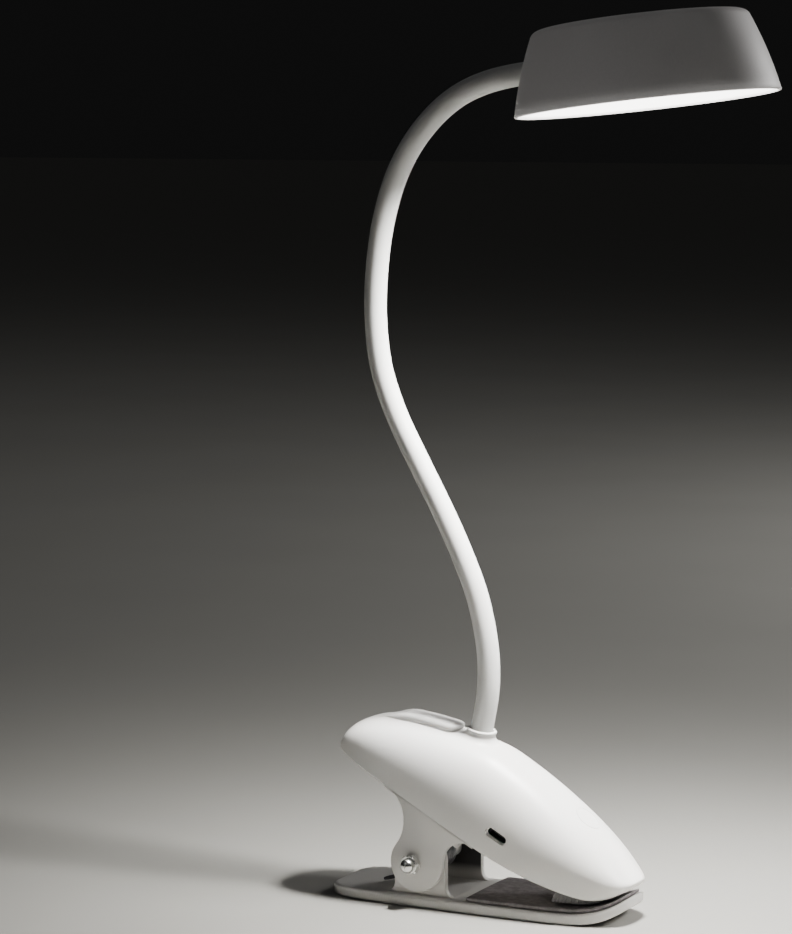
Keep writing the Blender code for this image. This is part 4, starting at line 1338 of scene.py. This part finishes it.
    def build_pad(self) -> bpy.types.Object:
        """The upper grip pad: fine ribs across its rear half, smooth towards the tip."""
        inset, lower = 3.6 * MM, LowerJaw()
        place = self.jaw.matrix()
        back = place.inverted()
        rear, front = 54 * MM, self.front - inset - 0.1 * MM
        ribbed, pitch = 67.5 * MM, 1.15 * MM
        stations = rear + (front - rear) * np.sin(np.linspace(0, math.pi / 2, 170))
        rings = []
        for u in stations:
            width = (self.half_width - inset) * self.plan_end(u, inset)[0]
            top = self.belly(u) - self.base_depth - GAP
            x = (place @ Vector((u, 0, top))).x
            rest = lower.rise(x) + lower.thickness + lower.lining + 0.6 * MM
            foot = min((back @ Vector((x, 0, rest))).z, top - 0.4 * MM)
            wave = 0.5 + 0.5 * math.cos(2 * math.pi * (u - rear) / pitch)
            rib = 0.28 * MM * wave * smooth((ribbed - u) / (2 * MM))
            groove, edge = rib if u < ribbed else 0.0, 0.35 * MM
            w, f = width, min(foot + groove, top - 0.3 * MM)
            ring = [
                (w, top), (w - groove, f + edge), (w - groove - edge * 0.3, f + edge * 0.3),
                (w - groove - edge, f)
            ]
            ring += [(-y, z) for y, z in reversed(ring)]
            rings.append([place @ Vector((u, y, z)) for y, z in ring])
        return loft("upper_grip_pad", rings)

    def build_collar_ring(self) -> bpy.types.Object:
        """The thin ring that finishes the turret."""
        bore, outer = self.collar.bore, self.collar.radius
        profile = [
            (bore, -1.0 * MM), (outer - 0.3 * MM, -1.0 * MM), (outer - 0.05 * MM, -0.9 * MM),
            (outer, -0.7 * MM), (outer, -0.35 * MM), (outer - 0.08 * MM, -0.12 * MM),
            (outer - 0.3 * MM, 0.0), (bore + 0.35 * MM, 0.1 * MM), (bore + 0.1 * MM, 0.02 * MM),
            (bore, -0.2 * MM),
        ]
        return lathe("collar_ring", profile, 72, self.collar.matrix())

    def build_inlet(self) -> bpy.types.Object:
        """The charging inlet: a thin dark shell with a deep mouth and its contact tongue."""
        u, w = self.usb
        place = self.jaw.matrix()

        def bar(
            name: str, half: float, high: float, rear: float, front: float, corner: float, lift: float = 0.0
        ) -> bpy.types.Object:
            """A bar along y with rounded corners."""
            outline = []
            for k, (du, dw) in enumerate(((1, -1), (1, 1), (-1, 1), (-1, -1))):
                outline += arc(
                    (u + du * (half - corner), w + lift + dw * (high - corner)), corner, -90 + 90 * k, 90 * k, 4
                )
            return plate(name, outline, [(0, front), (0, rear)], place)

        shell = bar("inlet", 3.9 * MM, 1.27 * MM, -14.0 * MM, -18.4 * MM, 0.6 * MM)
        cut(shell, [bar("mouth", 3.68 * MM, 1.05 * MM, -14.4 * MM, -19.0 * MM, 0.45 * MM)], "DIFFERENCE")
        cut(shell, [bar("tongue", 2.4 * MM, 0.3 * MM, -14.2 * MM, -17.7 * MM, 0.1 * MM, 0.15 * MM)], "UNION")
        return shell

    def build_touch_ring(self) -> bpy.types.Object:
        """A hair-fine raised ring that marks the touch switch."""
        place = self.jaw.matrix()
        sides, radius, half, proud = 96, 5.2 * MM, 0.3 * MM, 0.12 * MM
        rings = []
        for a in turn(sides):
            ring = []
            for r, lift in (
                (radius - half, -0.1 * MM), (radius - half * 0.5, proud), (radius + half * 0.5, proud),
                (radius + half, -0.1 * MM)
            ):
                u, y = self.touch + r * math.cos(a), r * math.sin(a)
                ring.append(place @ Vector((u, y, self.skin(u, y) + lift)))
            rings.append(ring)
        points = [p for ring in rings for p in ring]
        return add_mesh("touch_mark_ring", points, band(sides, 4, closed_rows=True))

    def build(self, wardrobe: Wardrobe) -> None:
        """Build, dress and mount the upper jaw's pieces."""
        jobs = (
            (self.build_cover, "upper_cover", Finish.WHITE),
            (self.build_base, "upper_base", Finish.EAR_PAINTED_SHADE),
            (self.build_pad, "upper_pad", Finish.PAD),
            (self.build_collar_ring, "neck_collar", Finish.WHITE),
            (self.build_inlet, "usb_connector", Finish.INLET),
            (self.build_touch_ring, None, Finish.WHITE),
        )
        for make, node, finish in jobs:
            made = wardrobe.dress(make(), finish)
            if node:
                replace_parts(made, node)
            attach(made, "upper_jaw")
            LOG.info("upper jaw: %s", made.name)


# ------------------------------------------------------------------ neck


@dataclass
class Neck:
    """The silicone sleeve, in lengths that each reach across one joint."""

    collar: Collar
    head: HeadSizes
    radius: float = 4.35 * MM
    bore: float = 3.3 * MM
    links: int = 8
    first_pivot: float = 9.0 * MM
    route: tuple[tuple[float, float], ...] = (
        (19.7, 67.9), (22.4, 84.0), (21.9, 100.0), (18.0, 118.0), (11.6, 134.0), (2.8, 151.5),
        (-8.2, 171.0), (-17.6, 188.5), (-24.0, 206.0), (-26.5, 225.0), (-25.9, 244.5),
        (-23.0, 263.0), (-17.2, 280.5), (-8.0, 295.5), (5.0, 307.9), (20.0, 315.2), (39.9, 319.1),
    )

    def __post_init__(self) -> None:
        """Lay the centre line."""
        self.lead = Vector((math.sin(self.collar.lean), 0, math.cos(self.collar.lean)))
        self.tail = Vector((math.cos(self.head.tilt), 0, math.sin(self.head.tilt)))
        stops = [Vector((x * MM, 0.0, z * MM)) for x, z in self.route]
        line = []
        steps = 8
        for i, (p1, p2) in enumerate(zip(stops, stops[1:])):
            chord = (p2 - p1).length
            m1 = (p2 - stops[i - 1]) / 2 if i else self.lead * chord
            m2 = (stops[i + 2] - p1) / 2 if i + 2 < len(stops) else self.tail * chord
            for k in range(steps):
                t = k / steps
                line.append(p1 * (2 * t**3 - 3 * t**2 + 1) + m1 * (t**3 - 2 * t**2 + t)
                            + p2 * (3 * t**2 - 2 * t**3) + m2 * (t**3 - t**2))
        self.line = line + [stops[-1]]
        self.lengths = [0.0]
        for a, b in zip(self.line, self.line[1:]):
            self.lengths.append(self.lengths[-1] + (b - a).length)
        self.length = self.lengths[-1]
        self.spacing = (self.length - self.first_pivot) * 0.985 / self.links

    def at(self, s: float) -> tuple[Vector, Vector]:
        """Point and direction at length s along the neck."""
        if s <= 0:
            return self.line[0] + self.lead * s, self.lead
        if s >= self.length:
            return self.line[-1] + self.tail * (s - self.length), self.tail
        i = max(k for k in range(len(self.line) - 1) if self.lengths[k] <= s)
        t = (s - self.lengths[i]) / (self.lengths[i + 1] - self.lengths[i])
        return self.line[i].lerp(self.line[i + 1], t), self.slope(i).lerp(self.slope(i + 1), t).normalized()

    def slope(self, i: int) -> Vector:
        """Direction at point i of the centre line."""
        if i == 0:
            return self.lead
        if i == len(self.line) - 1:
            return self.tail
        return (self.line[i + 1] - self.line[i - 1]).normalized()

    def ring(self, s: float, radius: float, sides: int) -> Ring:
        """A circle across the neck at s."""
        point, ahead = self.at(s)
        side = Vector((0, 1, 0))
        up = ahead.cross(side)
        return [point + (side * math.cos(a) + up * math.sin(a)) * radius for a in turn(sides)]

    def piece(self, number: int) -> bpy.types.Object:
        """One length of sleeve, from the middle of one link to the middle of the next."""
        sides = 40
        pivot, half = self.first_pivot + self.spacing * (number - 1), self.spacing / 2
        low = -9.0 * MM if number == 1 else pivot - half
        high = self.length + 2.0 * MM if number == self.links else pivot + half
        count = round((high - low) / (1.1 * MM))
        between, hold = [low + (high - low) * i / count for i in range(1, count)], 0.08 * MM
        stops = [low, low + hold] + between + [high - hold, high]
        rings = [self.ring(s, self.radius, sides) for s in stops]
        rings += [self.ring(s, self.bore, sides) for s in reversed(stops)]
        points = [p for ring in rings for p in ring]
        return add_mesh(
            f"neck_sleeve_length_{number}", points, band(len(rings), sides, closed_rows=True), math.radians(60)
        )

    def build(self, wardrobe: Wardrobe) -> None:
        """Build and dress every length in place of the CAD sleeves."""
        for number in range(1, self.links + 1):
            made = wardrobe.dress(self.piece(number), Finish.NECK)
            pivot = self.first_pivot + self.spacing * (number - 1)
            reach = self.first_pivot - 0.8 * MM if number == 1 else self.spacing / 2 - 1.2 * MM
            start, end = self.at(pivot - reach)[0], self.at(pivot + reach)[0]
            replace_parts(made, f"neck_sleeve_{number}")
            if number == 1:
                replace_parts(made, "neck_sleeve_0")
            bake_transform(made)
            LOG.info("neck: %s", made.name)


# ------------------------------------------------------------------ head


@dataclass
class Head:
    """The round shade, its diffuser and the light behind it."""

    sizes: HeadSizes

    def wall(self, inset: float, steps: int) -> list[tuple[float, float]]:
        """The shade's wall from its rim up to the shoulder."""
        found = []
        top = self.sizes.height - 2.4 * MM
        for i in range(steps + 1):
            z = top * i / steps
            t = z / self.sizes.height
            found.append((self.sizes.radius - inset - self.sizes.inset * (0.62 * t + 0.38 * t * t), z))
        return found

    def build_shell(self) -> bpy.types.Object:
        """The shade, with a soft shoulder, a low dome and a hole for the neck."""
        height, crown, wall = self.sizes.height, self.sizes.crown, self.sizes.wall
        outer = self.wall(0.0, 30)
        shoulder = outer[-1][0]
        a, b = (shoulder, height - 2.4 * MM), (shoulder - 0.9 * MM, height - 0.1 * MM)
        c = (shoulder - 4.2 * MM, height + 0.12 * MM)
        bend = []
        for i in range(1, 13):
            t = i / 12
            bend.append(tuple(a[k] * (1 - t) ** 2 + 2 * b[k] * t * (1 - t) + c[k] * t * t for k in (0, 1)))
        edge = bend[-1][0]
        dome = [
            (edge * (1 - t), height + 0.12 * MM + (crown - 0.12 * MM) * math.sin(t * math.pi / 2))
            for t in np.linspace(0.06, 1.0, 18)
        ]
        lip = 0.45 * MM
        rim = [(outer[0][0] - lip, 0.0), (outer[0][0] - lip * 0.3, lip * 0.25)]
        outer = rim + [(r, max(z, lip)) for r, z in outer]
        inner = self.wall(wall, 10)
        inner[0] = (inner[0][0], lip * 0.6)
        inner = [(self.sizes.radius - wall + 0.3 * MM, 0.0)] + inner
        ceiling = height - wall
        inner += [(inner[-1][0] - 3.0 * MM, ceiling), (0.0, ceiling)]
        profile = list(reversed(inner)) + outer + bend + dome
        shell = lathe("head_shade", profile, 192, self.sizes.matrix())
        hole = 4.65 * MM
        bar = [(0.0, -14 * MM), (hole, -14 * MM), (hole, 14 * MM), (0.0, 14 * MM)]
        level = Matrix.Rotation(math.radians(90), 4, "Y")
        entry = Matrix.Translation((-self.sizes.radius, 0, self.sizes.entry)) @ level
        return cut(shell, [lathe("entry", bar, 64, self.sizes.matrix() @ entry)], "DIFFERENCE")

    def build_diffuser(self) -> bpy.types.Object:
        """The opal pane, slightly bellied, set just inside the rim."""
        pane = self.sizes.radius - self.sizes.wall - 0.55 * MM
        profile = [(0.0, 2.3 * MM), (pane - 0.1 * MM, 2.3 * MM), (pane, 2.1 * MM), (pane, 1.2 * MM)]
        profile += [
            (pane - 0.6 * MM + 0.6 * MM * math.cos(a), 1.2 * MM - 0.5 * MM * math.sin(a))
            for a in np.linspace(0.2, math.pi / 2, 6)
        ]
        profile += [
            ((pane - 0.6 * MM) * (1 - t), 0.7 * MM - 0.25 * MM * math.sin(t * math.pi / 2))
            for t in np.linspace(0.08, 1.0, 16)
        ]
        return lathe("opal_pane", profile, 144, self.sizes.matrix())

    def build(self, wardrobe: Wardrobe) -> None:
        """Build, dress and mount the head's pieces."""
        shell = wardrobe.dress(self.build_shell(), Finish.HEAD)
        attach(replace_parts(shell, "head_shell"), "head")
        pane = wardrobe.dress(self.build_diffuser(), Finish.OPAL)
        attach(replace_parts(pane, "diffuser"), "head")
        data = bpy.data.lights.new("led_light", "AREA")
        data.shape, data.size, data.energy, data.color = "DISK", 44 * MM, 3.4, (1.0, 0.985, 0.955)
        data.spread = math.radians(158)
        light = bpy.data.objects.new("led_light", data)
        bpy.context.scene.collection.objects.link(light)
        light.matrix_world = self.sizes.matrix() @ Matrix.Translation((0, 0, -0.6 * MM))
        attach(light, "head")
        LOG.info("head: %s, %s", shell.name, pane.name)


# ------------------------------------------------------------------ studio


@dataclass
class Studio:
    """Plain pale floor, soft lights and the camera."""

    camera_place: Point = (0.55114, -1.09265, 0.30795)
    yaw: float = math.radians(27.5)
    pitch: float = math.radians(6.5)
    lens: float = 123.34

    def build_floor(self) -> None:
        """A wide pale floor with the faintest unevenness."""
        size = 14.0
        floor = add_mesh(
            "floor", [(-size, -size, 0), (size, -size, 0), (size, size, 0), (-size, size, 0)], [(0, 1, 2, 3)]
        )
        floor.location.z = -0.05 * MM
        paint = Paint("pale_floor")
        cloud = paint.noise(7.0, 3.0)
        paint.set(
            Base_Color=paint.blend(cloud, (0.285, 0.28, 0.262), (0.31, 0.305, 0.286)),
            Roughness=0.62 + cloud * 0.1,
            Specular_IOR_Level=0.25,
        )
        floor.data.materials.append(paint.material)

    def add_light(
        self, name: str, place: Point, target: Point, size: float, energy: float, colour: Point,
        spread: float = 180.0
    ) -> None:
        """Add one square area light.

        Args:
            name: The light's name.
            place: Where it stands.
            target: What it faces.
            size: Its side, in metres.
            energy: Its power.
            colour: Its colour.
            spread: Width of its beam, in degrees.
        """
        data = bpy.data.lights.new(name, "AREA")
        data.size, data.energy, data.color, data.spread = size, energy, colour, math.radians(spread)
        light = bpy.data.objects.new(name, data)
        light.location = place
        light.rotation_euler = (Vector(target) - Vector(place)).to_track_quat("-Z", "Y").to_euler()
        bpy.context.scene.collection.objects.link(light)

    def build_lights(self) -> None:
        """A narrow key from the right, a wash on the floor behind, weak fills and a sky brighter overhead."""
        self.add_light("side", (0.60, 0.16, 0.46), (0.26, 0.04, 0.0), 0.10, 0.6, (1.0, 0.985, 0.96), 50.0)
        self.add_light("wash", (0.62, 1.25, 0.55), (0.0, 0.95, 0.0), 0.3, 12.5, (1.0, 0.99, 0.97))
        self.add_light("fill", (-0.5, -1.0, 1.1), (0.0, 0.0, 0.2), 0.8, 0.35, (0.97, 0.98, 1.0))
        self.add_light("back", (-1.1, 1.6, 1.4), (0.0, 3.0, -1.4), 1.2, 0.9, (1.0, 0.99, 0.98))
        world = bpy.data.worlds.new("sky")
        world.use_nodes = True
        tree = world.node_tree
        where = tree.nodes.new("ShaderNodeTexCoord")
        split = tree.nodes.new("ShaderNodeSeparateXYZ")
        rise = tree.nodes.new("ShaderNodeMapRange")
        rise.interpolation_type = "SMOOTHSTEP"
        for place, value in ((1, 0.1), (2, 0.9), (3, 0.0062), (4, 0.03)):
            rise.inputs[place].default_value = value
        tree.links.new(where.outputs["Generated"], split.inputs[0])
        tree.links.new(split.outputs[2], rise.inputs[0])
        tree.links.new(rise.outputs[0], tree.nodes["Background"].inputs[0])
        bpy.context.scene.world = world

    def build_camera(self) -> None:
        """The camera, level with the lamp's head and turned to its right."""
        data = bpy.data.cameras.new("camera")
        data.sensor_fit, data.sensor_height, data.lens = "VERTICAL", 36.0, self.lens
        data.clip_start, data.clip_end = 0.05, 60.0
        camera = bpy.data.objects.new("camera", data)
        camera.location = self.camera_place
        camera.rotation_euler = (math.pi / 2 - self.pitch, 0.0, self.yaw)
        bpy.context.scene.collection.objects.link(camera)
        bpy.context.scene.camera = camera

    def build(self) -> None:
        """Build the floor, lights and camera."""
        self.build_floor()
        self.build_lights()
        self.build_camera()
        LOG.info("studio: floor, lights and camera")


# ------------------------------------------------------------------ assembly


def main() -> None:
    """Build every sub-assembly in order."""
    logging.basicConfig(level=logging.INFO, format="%(name)s: %(message)s")
    head, collar, jaw = HeadSizes(), Collar(), JawFrame()
    wardrobe = Wardrobe(head)
    Studio().build()
    for name in sorted(frame["nodes"]):
        wardrobe.dress_node(name)
    LowerJaw().build(wardrobe)
    Hinge().build(wardrobe)
    UpperJaw(jaw, collar).build(wardrobe)
    Neck(collar, head).build(wardrobe)
    Head(head).build(wardrobe)


if __name__ == "__main__":
    main()
